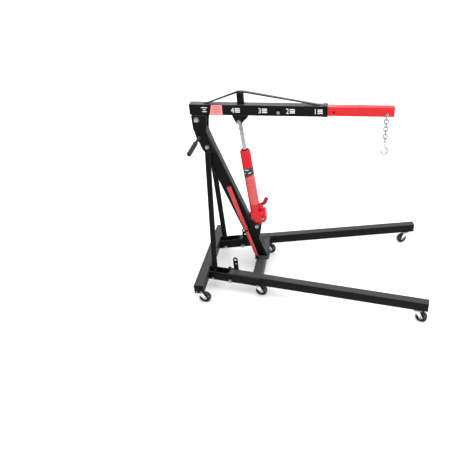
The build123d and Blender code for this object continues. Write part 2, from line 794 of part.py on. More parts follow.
# ---- boom ----
with BuildPart() as boom_tube:
    with BuildSketch(side(BOOM_WIDTH / 2)):
        with Locations(((BOOM_REAR + BOOM_FRONT) / 2, boom_mid)):
            Rectangle(BOOM_FRONT - BOOM_REAR, BOOM_HEIGHT)
    extrude(amount=BOOM_WIDTH)
    fillet(boom_tube.edges().filter_by(Axis.X), radius=4)
    with BuildSketch(side(BOOM_WIDTH / 2 - BOOM_WALL)):
        with Locations((BOOM_REAR + BOOM_WALL + 500, boom_mid)):
            Rectangle(1000, BOOM_HEIGHT - 2 * BOOM_WALL)
    extrude(amount=BOOM_WIDTH - 2 * BOOM_WALL, mode=Mode.SUBTRACT)
    with BuildSketch(side(-(BOOM_WIDTH / 2 - BOOM_WALL - 1))):
        with Locations((LOCK_HOLE_X, boom_mid - 6)):
            Circle(LOCK_PIN_R + PIN_GAP)
        with Locations((LOCK_HOLE_X + HOLE_PITCH, boom_mid - 6)):
            Circle(LOCK_PIN_R + 0.5)
    extrude(amount=BOOM_WALL + 5, mode=Mode.SUBTRACT)
save(boom_tube.part, "boom_tube")

with BuildPart() as boom_pivot_lugs:
    for y in (BOOM_WIDTH / 2, -(BOOM_WIDTH / 2 - 6.0)):
        with BuildSketch(side(y)):
            with BuildLine():
                Polyline(
                    (BOOM_PIVOT_X - 34, BOOM_BOTTOM),
                    (BOOM_PIVOT_X - 22, BOOM_PIVOT_Z - 10),
                    (BOOM_PIVOT_X + 22, BOOM_PIVOT_Z - 10),
                    (BOOM_PIVOT_X + 56, BOOM_BOTTOM),
                    close=True,
                )
            make_face()
            with Locations((BOOM_PIVOT_X, BOOM_PIVOT_Z)):
                Circle(24)
        extrude(amount=6)
    with BuildSketch(side(BOOM_WIDTH / 2)):
        with Locations((BOOM_PIVOT_X, BOOM_PIVOT_Z)):
            Circle(BOOM_BOLT_R + 7)
    extrude(amount=BOOM_WIDTH)
    with BuildSketch(side(BOOM_WIDTH / 2 + 5)):
        with Locations((BOOM_PIVOT_X, BOOM_PIVOT_Z)):
            Circle(BOOM_BOLT_R + PIN_GAP)
    extrude(amount=BOOM_WIDTH + 10, mode=Mode.SUBTRACT)
save(boom_pivot_lugs.part, "boom_pivot_lugs")


def hinge_bolt(x, z, radius, outside, head):
    """Bolt across the object whose head and nut stand clear of the plates that it turns in."""
    return hex_bolt(
        Plane(origin=(base_x + x, -(outside + FACE_GAP), z), x_dir=(1, 0, 0), z_dir=(0, -1, 0)),
        radius,
        2 * (outside + FACE_GAP),
        head,
        head * 0.62,
    )


save(hinge_bolt(BOOM_PIVOT_X, BOOM_PIVOT_Z, BOOM_BOLT_R, cheek_out, 30.0), "boom_pivot_bolt")
save(
    hinge_bolt(RAM_FOOT_X, RAM_FOOT_Z, RAM_PIN_R, cheek_in + RAM_PLATE, 26.0),
    "ram_foot_bolt",
)
save(hinge_bolt(RAM_HEAD_X, RAM_HEAD_Z, RAM_PIN_R, BOOM_WIDTH / 2, 26.0), "ram_head_bolt")

with BuildPart() as king_post:
    with BuildSketch(Plane.XY.offset(boom_top)):
        with Locations((base_x + KING_POST_X, 0)):
            Rectangle(KING_POST_DEPTH, STRAP_WIDTH + 10)
            Rectangle(KING_POST_DEPTH - 8, STRAP_WIDTH + 2, mode=Mode.SUBTRACT)
    extrude(amount=KING_POST_TOP - boom_top)
    with Locations((base_x + KING_POST_X, 0, KING_POST_TOP - 2.5)):
        Box(KING_POST_DEPTH, STRAP_WIDTH + 10, 5)
save(king_post.part, "king_post")


def strap(x_low, x_high, over=0.0):
    """Sloping strap from a foot on the boom to a corner of the king post, and over its top."""
    slope = atan2(KING_POST_TOP - boom_top, abs(x_high - x_low))
    thick = STRAP / cos(slope)
    sense = 1 if x_high > x_low else -1
    with BuildPart() as bar:
        with BuildSketch(side(STRAP_WIDTH / 2)):
            with BuildLine():
                Polyline(
                    (x_low, boom_top),
                    (x_high, KING_POST_TOP),
                    (x_high + sense * (over + 0.01), KING_POST_TOP),
                    (x_high + sense * (over + 0.01), KING_POST_TOP + STRAP),
                    (x_high, KING_POST_TOP + STRAP),
                    (x_low - sense * 4, boom_top + thick - 4 * tan(slope)),
                    (x_low - sense * 26, boom_top + 5),
                    (x_low - sense * 26, boom_top),
                    close=True,
                )
            make_face()
        extrude(amount=STRAP_WIDTH)
    return bar.part


half_post = KING_POST_DEPTH / 2
rear_strap = strap(STRAP_REAR_X + 26, KING_POST_X - half_post - 0.02)
save(rear_strap, "rear_truss_strap")
front_strap = strap(STRAP_FRONT_X, KING_POST_X + half_post, KING_POST_DEPTH)
save(front_strap, "front_truss_strap")

with BuildPart() as right_head_plate:
    with BuildSketch(side(-(BOOM_WIDTH / 2 - RAM_PLATE))):
        with BuildLine():
            Polyline(
                (RAM_HEAD_X - 41, BOOM_BOTTOM),
                (RAM_HEAD_X - 18, RAM_HEAD_Z - 10),
                (RAM_HEAD_X + 18, RAM_HEAD_Z - 10),
                (RAM_HEAD_X + 62, BOOM_BOTTOM),
                close=True,
            )
        make_face()
        with Locations((RAM_HEAD_X, RAM_HEAD_Z)):
            Circle(21)
            Circle(RAM_PIN_R + PIN_GAP, mode=Mode.SUBTRACT)
    extrude(amount=RAM_PLATE)
with BuildPart() as ram_head_plates:
    add(right_head_plate.part)
    mirror(right_head_plate.part, about=Plane.XZ)
save(ram_head_plates.part, "ram_head_plates")

# ---- extension ----
with BuildPart() as extension:
    with BuildSketch(side(ext_width / 2)):
        with Locations(((EXT_REAR + EXT_END) / 2, boom_mid)):
            Rectangle(EXT_END - EXT_REAR, ext_height)
    extrude(amount=ext_width)
    fillet(extension.edges().filter_by(Axis.X), radius=4)
    with BuildSketch(side(ext_width / 2 - EXT_WALL)):
        with Locations(((EXT_REAR + EXT_END) / 2 - EXT_WALL, boom_mid)):
            Rectangle(EXT_END - EXT_REAR, ext_height - 2 * EXT_WALL)
    extrude(amount=ext_width - 2 * EXT_WALL, mode=Mode.SUBTRACT)
    with BuildSketch(side(ext_width / 2 + 5)):
        with Locations((CHAIN_BOLT_X, chain_bolt_z)):
            Circle(CHAIN_BOLT_R)
    extrude(amount=ext_width + 10, mode=Mode.SUBTRACT)
    with BuildSketch(side(-(ext_width / 2 - EXT_WALL - 1))):
        with Locations(*[(LOCK_HOLE_X + n * HOLE_PITCH, boom_mid - 6) for n in (-1, 0, 1, 2)]):
            Circle(LOCK_PIN_R + 0.5)
    extrude(amount=EXT_WALL + 5, mode=Mode.SUBTRACT)
    with Locations((base_x + CHAIN_BOLT_X, 0, ext_bottom)):
        Box(76, 2 * (LINK_BEND + WIRE_R) - 10, 4 * EXT_WALL, mode=Mode.SUBTRACT)
save(extension.part, "extension")

save(
    hex_bolt(
        Plane(
            origin=(base_x + CHAIN_BOLT_X, -ext_width / 2, chain_bolt_z),
            x_dir=(1, 0, 0),
            z_dir=(0, -1, 0),
        ),
        CHAIN_BOLT_R,
        ext_width,
        19.0,
    ),
    "chain_bolt",
)
boom_pin_tip = ext_width / 2 + 0.6
boom_pin_seat = BOOM_WIDTH / 2 + LOCK_TRAVEL + 1
with BuildPart() as extension_lock_pin:
    with BuildSketch(side(-boom_pin_tip)):
        with Locations((LOCK_HOLE_X, boom_mid - 6)):
            Circle(LOCK_PIN_R)
    extrude(amount=boom_pin_seat - boom_pin_tip)
    with BuildSketch(side(-boom_pin_seat)):
        with Locations((LOCK_HOLE_X, boom_mid - 6)):
            Circle(11)
    extrude(amount=9)
    chamfer(extension_lock_pin.faces().sort_by(Axis.Y)[0].edges(), 2)
save(extension_lock_pin.part, "extension_lock_pin")

# ---- chain ----
link_pitch = LINK_STRAIGHT + 2 * (LINK_BEND - WIRE_R) - LINK_GAP
chain_x = base_x + CHAIN_BOLT_X


def chain_link(top_z, turn):
    """Oval link hanging from its upper bend's middle at top_z, in the side plane turned about Z."""
    with BuildPart() as link:
        for z, start in ((0.0, 0), (-LINK_STRAIGHT, 180)):
            with BuildSketch(Plane(origin=(LINK_BEND, 0, z), x_dir=(1, 0, 0), z_dir=(0, 0, 1))):
                Circle(WIRE_R)
            revolve(axis=Axis((0, 0, z), (0, -1 if start == 0 else 1, 0)), revolution_arc=180)
        for x in (LINK_BEND, -LINK_BEND):
            with BuildSketch(Plane(origin=(x, 0, 0), x_dir=(1, 0, 0), z_dir=(0, 0, -1))):
                Circle(WIRE_R)
            extrude(amount=LINK_STRAIGHT)
    return link.part.moved(Location((chain_x, 0, top_z), (0, 0, turn)))


first_top = chain_bolt_z + CHAIN_BOLT_R + LINK_GAP + WIRE_R - LINK_BEND
link_tops = [first_top - n * link_pitch for n in range(8)]
links = [chain_link(z, 0 if n % 2 == 0 else 90) for n, z in enumerate(link_tops)]
with BuildPart() as upper_chain:
    for piece in links[:3]:
        add(piece)
save(upper_chain.part, "upper_chain")
with BuildPart() as lower_chain:
    for piece in links[3:]:
        add(piece)
save(lower_chain.part, "lower_chain")

last_wire_z = link_tops[-1] - LINK_STRAIGHT - LINK_BEND
hook_eye_z = last_wire_z - (HOOK_EYE_INNER - WIRE_R - 2.6)
hook_z = hook_eye_z - 63.0
with BuildPart() as grab_hook:
    with BuildSketch(side(HOOK_THICKNESS / 2)):
        with Locations((CHAIN_BOLT_X, hook_eye_z)):
            Circle(HOOK_EYE_OUTER)
        with Locations((CHAIN_BOLT_X + 1, hook_z)):
            Circle(HOOK_OUTER)
        with BuildLine():
            Polyline(
                (CHAIN_BOLT_X - 9, hook_eye_z - 10),
                (CHAIN_BOLT_X + 13, hook_eye_z - 6),
                (CHAIN_BOLT_X + 31, hook_z + 12),
                (CHAIN_BOLT_X + 10, hook_z + 12),
                (CHAIN_BOLT_X - 4, hook_z + 36),
                close=True,
            )
        make_face()
        with Locations((CHAIN_BOLT_X + 1, hook_z)):
            Circle(HOOK_THROAT, mode=Mode.SUBTRACT)
        with Locations(Location((CHAIN_BOLT_X - 13, hook_z + 17), (0, 0, 127))):
            Rectangle(52, 21, mode=Mode.SUBTRACT)
        with Locations((CHAIN_BOLT_X, hook_eye_z)):
            Circle(HOOK_EYE_INNER, mode=Mode.SUBTRACT)
    extrude(amount=HOOK_THICKNESS)
save(grab_hook.part, "grab_hook")

# ---- ram: local plane with y from the foot pin to the head pin ----
plunger_offset = CYLINDER_R + PLUNGER_AHEAD
lever_pivot = CYLINDER_R + 11.0
ram_lean = atan2(RAM_FOOT_X - RAM_HEAD_X, RAM_HEAD_Z - RAM_FOOT_Z)
ram_length = hypot(RAM_FOOT_X - RAM_HEAD_X, RAM_HEAD_Z - RAM_FOOT_Z)
ram_axis_dir = Vector(-sin(ram_lean), 0, cos(ram_lean))
ram_front_dir = Vector(cos(ram_lean), 0, sin(ram_lean))
ram_foot = Vector(base_x + RAM_FOOT_X, 0, RAM_FOOT_Z)
ram_axis = Axis(ram_foot, ram_axis_dir)


def ram_side(y):
    """Side plane of the ram: local x forward, local y along the ram from the foot pin."""
    return Plane(origin=ram_foot + Vector(0, y, 0), x_dir=ram_front_dir, z_dir=(0, -1, 0))


def ram_cross(s, forward=0.0):
    """Plane across the ram at a distance from the foot pin, normal to the head."""
    return Plane(
        origin=ram_foot + ram_axis_dir * s + ram_front_dir * forward,
        x_dir=ram_front_dir,
        z_dir=ram_axis_dir,
    )


with BuildPart() as ram_base:
    with BuildSketch(ram_side(BASE_HALF)):
        with BuildLine():
            Polyline(
                (-30, 22),
                (-38, 50),
                (-36, CYLINDER_START),
                (CYLINDER_R + 5, CYLINDER_START),
                (CYLINDER_R + 9, 128),
                (CYLINDER_R + 39, 128),
                (CYLINDER_R + 43, 120),
                (CYLINDER_R + 43, 44),
                (58, 26),
                (20, 14),
                (-14, 14),
                close=True,
            )
        make_face()
    extrude(amount=2 * BASE_HALF)
    fillet(ram_base.edges().filter_by(Axis.Y), radius=3)
    with BuildSketch(ram_side(BASE_HALF - 4)):
        with Locations((0, 8)):
            Rectangle(2 * ROD_EYE_R, 24)
        Circle(ROD_EYE_R)
    extrude(amount=2 * BASE_HALF - 8)
    with BuildSketch(ram_side(BASE_HALF)):
        Circle(RAM_PIN_R + PIN_GAP)
    extrude(amount=2 * BASE_HALF, mode=Mode.SUBTRACT)
    # pump barrel's bore
    with BuildSketch(ram_cross(60, plunger_offset)):
        Circle(PLUNGER_R + PIN_GAP)
    extrude(amount=120, mode=Mode.SUBTRACT)
    # clevis for the lever
    for y in (13.0, -8.0):
        with BuildSketch(ram_side(y)):
            with BuildLine():
                Polyline(
                    (CYLINDER_R + 4, 118), (CYLINDER_R + 4, 176), (CYLINDER_R + 19, 176),
                    (CYLINDER_R + 21, 118), close=True,
                )
            make_face()
        extrude(amount=5)
    with BuildSketch(ram_side(20)):
        with Locations((lever_pivot, 168)):
            Circle(4)
    extrude(amount=40, mode=Mode.SUBTRACT)
save(ram_base.part, "ram_base")

with BuildPart() as ram_cylinder:
    with BuildSketch(ram_cross(CYLINDER_START)):
        Circle(CYLINDER_R)
        Circle(BORE_R, mode=Mode.SUBTRACT)
    extrude(amount=CYLINDER_END - CYLINDER_START)
save(ram_cylinder.part, "ram_cylinder")
with BuildPart() as ram_cap:
    with BuildSketch(ram_side(0)):
        with BuildLine():
            Polyline(
                (CAP_BORE_R, CYLINDER_END),
                (CYLINDER_R, CYLINDER_END),
                (CYLINDER_R, CYLINDER_END + 8),
                (CYLINDER_R - 3, CAP_END - 8),
                (CYLINDER_R - 7, CAP_END),
                (CAP_BORE_R, CAP_END),
                close=True,
            )
        make_face()
    revolve(axis=ram_axis)
save(ram_cap.part, "ram_cap")

with BuildPart() as ram_rod:
    with BuildSketch(ram_cross(ROD_START)):
        Circle(ROD_R)
    extrude(amount=ram_length - ROD_START)
    with BuildSketch(ram_side(ROD_EYE_WIDTH / 2)):
        with Locations((0, ram_length)):
            Circle(ROD_EYE_R)
    extrude(amount=ROD_EYE_WIDTH)
    with BuildSketch(ram_side(ROD_EYE_WIDTH / 2 + 5)):
        with Locations((0, ram_length)):
            Circle(RAM_PIN_R + PIN_GAP)
    extrude(amount=ROD_EYE_WIDTH + 10, mode=Mode.SUBTRACT)
save(ram_rod.part, "ram_rod")

with BuildPart() as pump_plunger:
    with BuildSketch(ram_cross(84, plunger_offset)):
        Circle(PLUNGER_R)
    extrude(amount=70)
    with Locations(ram_cross(158, plunger_offset)):
        Box(14, 5, 26)
    with BuildSketch(ram_side(10)):
        with Locations((plunger_offset, 166)):
            Circle(3)
    extrude(amount=20)
save(pump_plunger.part, "pump_plunger")

lever_plane = ram_side(0)
with BuildPart() as pump_lever:
    # two cheeks beside the plunger's tongue, joined at the socket
    for y in (7.6, -3.6):
        with BuildSketch(ram_side(y)):
            with BuildLine():
                Polyline(
                    (CYLINDER_R + 3, 162), (CYLINDER_R + 3, 174), (CYLINDER_R + 29, 186),
                    (CYLINDER_R + 43, 190), (CYLINDER_R + 45, 170), (CYLINDER_R + 29, 160),
                    close=True,
                )
            make_face()
            with Locations((lever_pivot, 168)):
                Circle(4 + 0.3, mode=Mode.SUBTRACT)
            with Locations((plunger_offset, 166)):
                SlotOverall(12, 7.2, mode=Mode.SUBTRACT)
        extrude(amount=4)
    socket_plane = Plane(
        origin=ram_foot + ram_axis_dir * 176 + ram_front_dir * (CYLINDER_R + 41),
        x_dir=ram_front_dir,
        z_dir=ram_axis_dir * cos(radians(28)) + ram_front_dir * sin(radians(28)),
    )
    with BuildSketch(socket_plane):
        Circle(SOCKET_BORE_R + SOCKET_WALL)
    extrude(amount=SOCKET_LENGTH)
    with BuildSketch(socket_plane.offset(6)):
        Circle(SOCKET_BORE_R)
    extrude(amount=SOCKET_LENGTH, mode=Mode.SUBTRACT)
save(pump_lever.part, "pump_lever")

with BuildPart() as lever_pin:
    with BuildSketch(ram_side(15)):
        with Locations((lever_pivot, 168)):
            Circle(4)
    extrude(amount=30)
save(lever_pin.part, "lever_pin")

with BuildPart() as release_valve:
    with BuildSketch(ram_side(-(BASE_HALF + FACE_GAP))):
        with Locations((56, 70)):
            Circle(7)
    extrude(amount=9)
    with BuildSketch(ram_side(-(BASE_HALF + FACE_GAP + 9))):
        with Locations((56, 70)):
            RegularPolygon(10, 8)
    extrude(amount=12)
save(release_valve.part, "release_valve")

# ---- stored pump handle ----
handle_dx = HANDLE_TOP[0] - HANDLE_LOW[0]
handle_dz = HANDLE_TOP[1] - HANDLE_LOW[1]
handle_length = hypot(handle_dx, handle_dz)
handle_dir = Vector(handle_dx / handle_length, 0, handle_dz / handle_length)
handle_foot = Vector(base_x + HANDLE_LOW[0], -HANDLE_Y, HANDLE_LOW[1])


def handle_plane(distance):
    return Plane(origin=handle_foot + handle_dir * distance, x_dir=(0, 1, 0), z_dir=handle_dir)


joint_at = handle_length * HANDLE_JOINT
with BuildPart() as handle_lower:
    with BuildSketch(handle_plane(0)):
        Circle(HANDLE_TIP_R)
        Circle(HANDLE_TIP_R - 2.5, mode=Mode.SUBTRACT)
    extrude(amount=50)
    with BuildSketch(handle_plane(50)):
        Circle(HANDLE_LOWER_R)
        Circle(HANDLE_TIP_R - 2.5, mode=Mode.SUBTRACT)
    extrude(amount=joint_at + 60 - 50)
save(handle_lower.part, "handle_lower")
with BuildPart() as handle_upper:
    with BuildSketch(handle_plane(joint_at)):
        Circle(HANDLE_UPPER_R)
    extrude(amount=handle_length - joint_at)
    with BuildSketch(handle_plane(joint_at - 1)):
        Circle(HANDLE_LOWER_R)
    extrude(amount=61, mode=Mode.SUBTRACT)
    with BuildSketch(handle_plane(joint_at + 70)):
        Circle(HANDLE_UPPER_R - 2.5)
    extrude(amount=handle_length - joint_at - 80, mode=Mode.SUBTRACT)
save(handle_upper.part, "handle_upper")

clip_at = joint_at - 16
clip_r = HANDLE_LOWER_R + FACE_GAP
with BuildPart() as handle_holders:
    with BuildSketch(handle_plane(clip_at)):
        Circle(clip_r + 3)
        with Locations(((HANDLE_Y - cheek_in - RAM_PLATE) / 2, 0)):
            Rectangle(HANDLE_Y - cheek_in - RAM_PLATE, 16)
        Circle(clip_r, mode=Mode.SUBTRACT)
    extrude(amount=14)
    with BuildSketch(handle_plane(-6)):
        Circle(HANDLE_TIP_R + 4)
    extrude(amount=30)
    with BuildSketch(handle_plane(-FACE_GAP)):
        Circle(HANDLE_TIP_R + FACE_GAP)
    extrude(amount=60, mode=Mode.SUBTRACT)
    with Locations((base_x + MAST_AXIS_X, 0, channel_top + FOOT_PLATE - 20)):
        Box(400, 400, 40, mode=Mode.SUBTRACT)
save(handle_holders.part, "handle_holders")
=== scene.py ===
"""Visual model of a folding engine hoist crane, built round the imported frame.

Meshes are worked out in millimetres in the object's own frame: +X towards the leg tips, +Y to the
left, +Z up. Places forward are given from the rear crossbar's front face. A mesh is brought to
metres when its piece is made.
"""
import logging
from dataclasses import dataclass
from enum import Enum
from math import acos, atan2, cos, hypot, pi, radians, sin, tan, tau
from typing import Sequence

import bpy
import numpy as np
from mathutils.geometry import tessellate_polygon
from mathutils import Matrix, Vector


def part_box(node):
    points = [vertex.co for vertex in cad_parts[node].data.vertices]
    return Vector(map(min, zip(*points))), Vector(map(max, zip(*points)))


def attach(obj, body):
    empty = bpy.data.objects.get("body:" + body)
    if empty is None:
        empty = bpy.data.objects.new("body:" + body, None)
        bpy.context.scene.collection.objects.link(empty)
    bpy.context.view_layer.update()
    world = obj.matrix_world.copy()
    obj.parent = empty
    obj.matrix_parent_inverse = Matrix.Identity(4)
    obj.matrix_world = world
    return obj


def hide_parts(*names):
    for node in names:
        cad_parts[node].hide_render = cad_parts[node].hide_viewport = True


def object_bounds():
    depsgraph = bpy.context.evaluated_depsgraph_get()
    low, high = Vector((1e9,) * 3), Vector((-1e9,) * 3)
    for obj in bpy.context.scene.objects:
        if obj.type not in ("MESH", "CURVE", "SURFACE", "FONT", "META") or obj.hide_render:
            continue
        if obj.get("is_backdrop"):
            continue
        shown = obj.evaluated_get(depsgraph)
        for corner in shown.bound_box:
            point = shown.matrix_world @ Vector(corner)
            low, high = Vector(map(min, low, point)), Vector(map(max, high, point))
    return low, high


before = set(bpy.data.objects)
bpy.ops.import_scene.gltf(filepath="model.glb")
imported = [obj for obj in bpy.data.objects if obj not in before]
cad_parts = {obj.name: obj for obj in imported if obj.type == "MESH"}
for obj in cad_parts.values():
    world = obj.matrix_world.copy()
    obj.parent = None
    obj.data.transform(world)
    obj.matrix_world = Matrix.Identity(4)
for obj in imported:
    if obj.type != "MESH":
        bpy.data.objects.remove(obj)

Array = np.ndarray
Point = tuple[float, float]
log = logging.getLogger("hoist")

MM = 0.001
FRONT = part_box("rear_crossbar")[1].x / MM
RIGHT_HAND = np.array((0.0, -1.0, 0.0))
UP = np.array((0.0, 0.0, 1.0))
FORWARD = np.array((1.0, 0.0, 0.0))


class Slot(Enum):
    """Names of material slots."""

    BLACK = "black_paint"
    RED = "red_paint"
    ZINC = "zinc_steel"
    CHROME = "chrome_rod"
    POLYMER = "wheel_polymer"
    RUBBER = "grip_rubber"


class Side(Enum):
    """Side of the crane, with the sign of its Y."""

    RIGHT = -1
    LEFT = 1

    @property
    def word(self) -> str:
        """Side's name as node names have it."""
        return self.name.lower()


# ---------------------------------------------------------------- surfaces


def unit(vector: Array) -> Array:
    """Vector, or each row of an array of vectors, brought to length one."""
    return vector / np.linalg.norm(vector, axis=-1, keepdims=True)


@dataclass(frozen=True)
class Place:
    """A point and the three square directions that local x, y and z lie along."""

    origin: Array
    x: Array
    y: Array
    z: Array

    def at(self, points: Array | Sequence[float]) -> Array:
        """Local points brought to the object's frame: origin + x X + y Y + z Z."""
        p = np.asarray(points, float)
        return self.origin + p[..., :1] * self.x + p[..., 1:2] * self.y + p[..., 2:3] * self.z

    def moved(self, x: float = 0.0, y: float = 0.0, z: float = 0.0) -> "Place":
        """Same directions about another point, given in local distances."""
        return Place(self.at((x, y, z)), self.x, self.y, self.z)


def forward(ahead: float, across: float, height: float) -> Array:
    """Point a distance ahead of the crossbar's front face."""
    return np.array((FRONT + ahead, across, height))


def side_place(across: float) -> Place:
    """Side view's plane: local x ahead, local y up, local z towards the right."""
    return Place(forward(0, across, 0), FORWARD, UP, RIGHT_HAND)


def axis_place(start: Array, end: Array, hint: Array = FORWARD) -> Place:
    """Place with local z from start to end and local x as near the hint as it can be."""
    z = unit(np.asarray(end, float) - start)
    x = unit(hint - z * np.dot(hint, z))
    return Place(np.asarray(start, float), x, np.cross(z, x), z)


@dataclass
class Surface:
    """Points in millimetres and blocks of faces, each block with one number of corners."""

    points: Array
    faces: list[Array]

    def __add__(self, other: "Surface") -> "Surface":
        """Both surfaces in one."""
        shifted = [block + len(self.points) for block in other.faces]
        return Surface(np.vstack((self.points, other.points)), self.faces + shifted)

    def placed(self, place: Place) -> "Surface":
        """Surface moved from local coordinates to a place."""
        return Surface(place.at(self.points), self.faces)

    def mirrored(self) -> "Surface":
        """Surface on the other side of the crane, its faces turned to stay outward."""
        return Surface(self.points * (1, -1, 1), [block[:, ::-1] for block in self.faces])

    def on(self, side: Side) -> "Surface":
        """Right-hand surface, mirrored when the left is asked for."""
        return self if side is Side.RIGHT else self.mirrored()

    def volume(self) -> float:
        """Signed volume: the sum of the wedges from the origin to each face's triangles."""
        total = 0.0
        for block in self.faces:
            first = self.points[block[:, 0]]
            for k in range(1, block.shape[1] - 1):
                second, third = self.points[block[:, k]], self.points[block[:, k + 1]]
                total += np.einsum("ij,ij->", first, np.cross(second, third))
        return total / 6

    def outward(self) -> "Surface":
        """Surface with its faces turned outwards, told by the sign of its volume."""
        if self.volume() >= 0:
            return self
        return Surface(self.points, [block[:, ::-1] for block in self.faces])


def join(parts: Sequence[Surface]) -> Surface:
    """All the surfaces in one."""
    total = parts[0]
    for part in parts[1:]:
        total = total + part
    return total


def grid(points: Array, wrap_rows: bool = False) -> Surface:
    """Closed surface over rings of points, one ring a row.

    Args:
        points: rows by columns by 3; every row is a closed ring.
        wrap_rows: the last ring joins the first; otherwise both ends are capped.

    Returns:
        The surface, facing outwards.
    """
    rows, cols = points.shape[:2]
    index = np.arange(rows * cols).reshape(rows, cols)
    caps = [] if wrap_rows else [index[:1, ::-1], index[-1:]]
    if wrap_rows:
        index = np.vstack((index, index[:1]))
    index = np.hstack((index, index[:, :1]))
    quads = np.stack((index[:-1, :-1], index[:-1, 1:], index[1:, 1:], index[1:, :-1]), -1)
    return Surface(points.reshape(-1, 3), [quads.reshape(-1, 4), *caps]).outward()


def sheet(outer: Array, inner: Array) -> Surface:
    """Thin closed shell between two grids of points: each ring is a row out and a row back."""
    return grid(np.concatenate((outer, inner[:, ::-1]), axis=1))


def lathe(profile: Sequence[Point], steps: int = 48, wrap: bool = False) -> Surface:
    """Turned solid: the point at angle a of a station is (r cos a, r sin a, h).

    Args:
        profile: radius and height of each station.
        steps: sides round the axis.
        wrap: the profile is a closed loop, as in a ring.
    """
    angle = np.linspace(0, tau, steps, endpoint=False)
    radius, height = np.array(profile, float).T[:, :, None]
    flat = np.stack((radius * np.cos(angle), radius * np.sin(angle)), -1)
    rise = np.broadcast_to(height[..., None], (*flat.shape[:2], 1))
    return grid(np.concatenate((flat, rise), -1), wrap)


def ring_profile(inner: float, outer: float, low: float, high: float, edge: float) -> list[Point]:
    """Closed profile of a ring whose four edges are cut at 45 degrees."""
    return [(inner + edge, low), (outer - edge, low), (outer, low + edge), (outer, high - edge),
        (outer - edge, high), (inner + edge, high), (inner, high - edge), (inner, low + edge)]


def pin_profile(radius: float, low: float, high: float, edge: float) -> list[Point]:
    """Open profile of a pin with rounded ends: two chords for each end's quarter round."""
    share = 0.3
    return [(radius - edge, low), (radius - share * edge, low + share * edge), (radius, low + edge),
        (radius, high - edge), (radius - share * edge, high - share * edge), (radius - edge, high)]


def rounded_ring(width: float, depth: float, radius: float, steps: int = 5) -> Array:
    """Rounded rectangle: each corner is a quarter circle a radius in from both its sides."""
    corners = []
    for quarter, (sx, sy) in enumerate(((1, 1), (-1, 1), (-1, -1), (1, -1))):
        turn = np.linspace(0, pi / 2, steps) + quarter * pi / 2
        x = sx * (width / 2 - radius) + radius * np.cos(turn)
        y = sy * (depth / 2 - radius) + radius * np.sin(turn)
        corners.append(np.stack((x, y), -1))
    return np.vstack(corners)


def loft(sections: Sequence[tuple[float, float, float, float]], wrap: bool = False) -> Surface:
    """Rounded rectangle carried along z, its size given at each section.

    Args:
        sections: height, width, depth and corner radius of each.
        wrap: the last section joins the first, as in a tube open at both ends.
    """
    rings = []
    for height, width, depth, radius in sections:
        ring = rounded_ring(width, depth, max(radius, 0.3))
        rings.append(np.column_stack((ring, np.full(len(ring), height))))
    return grid(np.array(rings), wrap)


def tube(width: float, depth: float, length: float, radius: float, wall: float = 0.0, edge: float = 0.9
) -> Surface:
    """Rectangular tube along z with softened ends.

    Args:
        width: size along x.
        depth: size along y.
        length: size along z.
        radius: outer corner radius.
        wall: thickness of an open tube, or 0 for closed ends.
        edge: size of the softening at the ends.
    """
    near = [(0.0, edge), (0.3 * edge, 0.3 * edge), (edge, 0.0)]
    far = [(length - s, inset) for s, inset in reversed(near)]
    stations = near + far
    if wall:
        back = [(s, wall - inset) for s, inset in reversed(stations)]
        stations = stations + back
    sections = [(s, width - 2 * i, depth - 2 * i, radius - i) for s, i in stations]
    return loft(sections, wrap=wall > 0)


def inset(loop: Array, amount: float) -> Array:
    """Loop pulled to its left: each corner moves along the bisector of its sides' left normals."""
    step = unit(np.roll(loop, -1, 0) - loop)
    normal = np.stack((-step[:, 1], step[:, 0]), -1)
    before = np.roll(normal, 1, 0)
    return loop + amount * (normal + before) / (1 + (normal * before).sum(1))[:, None]


def signed_area(loop: Array) -> float:
    """Area of a flat loop, above 0 when it runs anticlockwise."""
    after = np.roll(loop, -1, 0)
    return float((loop[:, 0] * after[:, 1] - loop[:, 1] * after[:, 0]).sum() / 2)


def plate(outline: Array, thickness: float, edge: float = 0.8, holes: Sequence[Array] = ()) -> Surface:
    """Flat plate: the outline and its holes carried through the thickness.

    Each loop is pulled into the plate near both faces, which rounds its edges, and the faces are
    filled between the loops.

    Args:
        outline: points of the outer loop.
        thickness: distance between the faces, along z from 0.
        edge: size of the rounding.
        holes: loops of the holes.
    """
    stations = [(0.0, edge), (0.3 * edge, 0.3 * edge), (edge, 0.0)]
    stations += [(thickness - s, i) for s, i in reversed(stations)]
    loops = [outline if signed_area(outline) > 0 else outline[::-1]]
    loops += [hole if signed_area(hole) < 0 else hole[::-1] for hole in holes]
    points, walls, rings, count = [], [], [], 0
    for loop in loops:
        rows = [np.column_stack((inset(loop, i), np.full(len(loop), s))) for s, i in stations]
        index = count + np.arange(len(rows) * len(loop)).reshape(len(rows), -1)
        rings.append(index)
        wide = np.hstack((index, index[:, :1]))
        quads = np.stack((wide[:-1, :-1], wide[:-1, 1:], wide[1:, 1:], wide[1:, :-1]), -1)
        walls.append(quads.reshape(-1, 4))
        points.append(np.vstack(rows))
        count += index.size
    stacked = np.vstack(points)
    flat = [[(*stacked[i][:2], 0.0) for i in index[0]] for index in rings]
    fill = np.array(tessellate_polygon(flat))
    bottom = np.concatenate([index[0] for index in rings])[fill]
    top = np.concatenate([index[-1] for index in rings])[fill]
    a, b, c = (stacked[top[:, k]][:, :2] for k in range(3))
    turn = (b - a)[:, 0] * (c - a)[:, 1] - (b - a)[:, 1] * (c - a)[:, 0]
    top[turn < 0] = top[turn < 0][:, ::-1]
    bottom[turn > 0] = bottom[turn > 0][:, ::-1]
    return Surface(stacked, [np.vstack(walls), top, bottom])


def circle(x: float, y: float, radius: float, steps: int = 28) -> Array:
    """Closed loop round a point."""
    turn = np.linspace(0, tau, steps, endpoint=False)
    return np.stack((x + radius * np.cos(turn), y + radius * np.sin(turn)), -1)


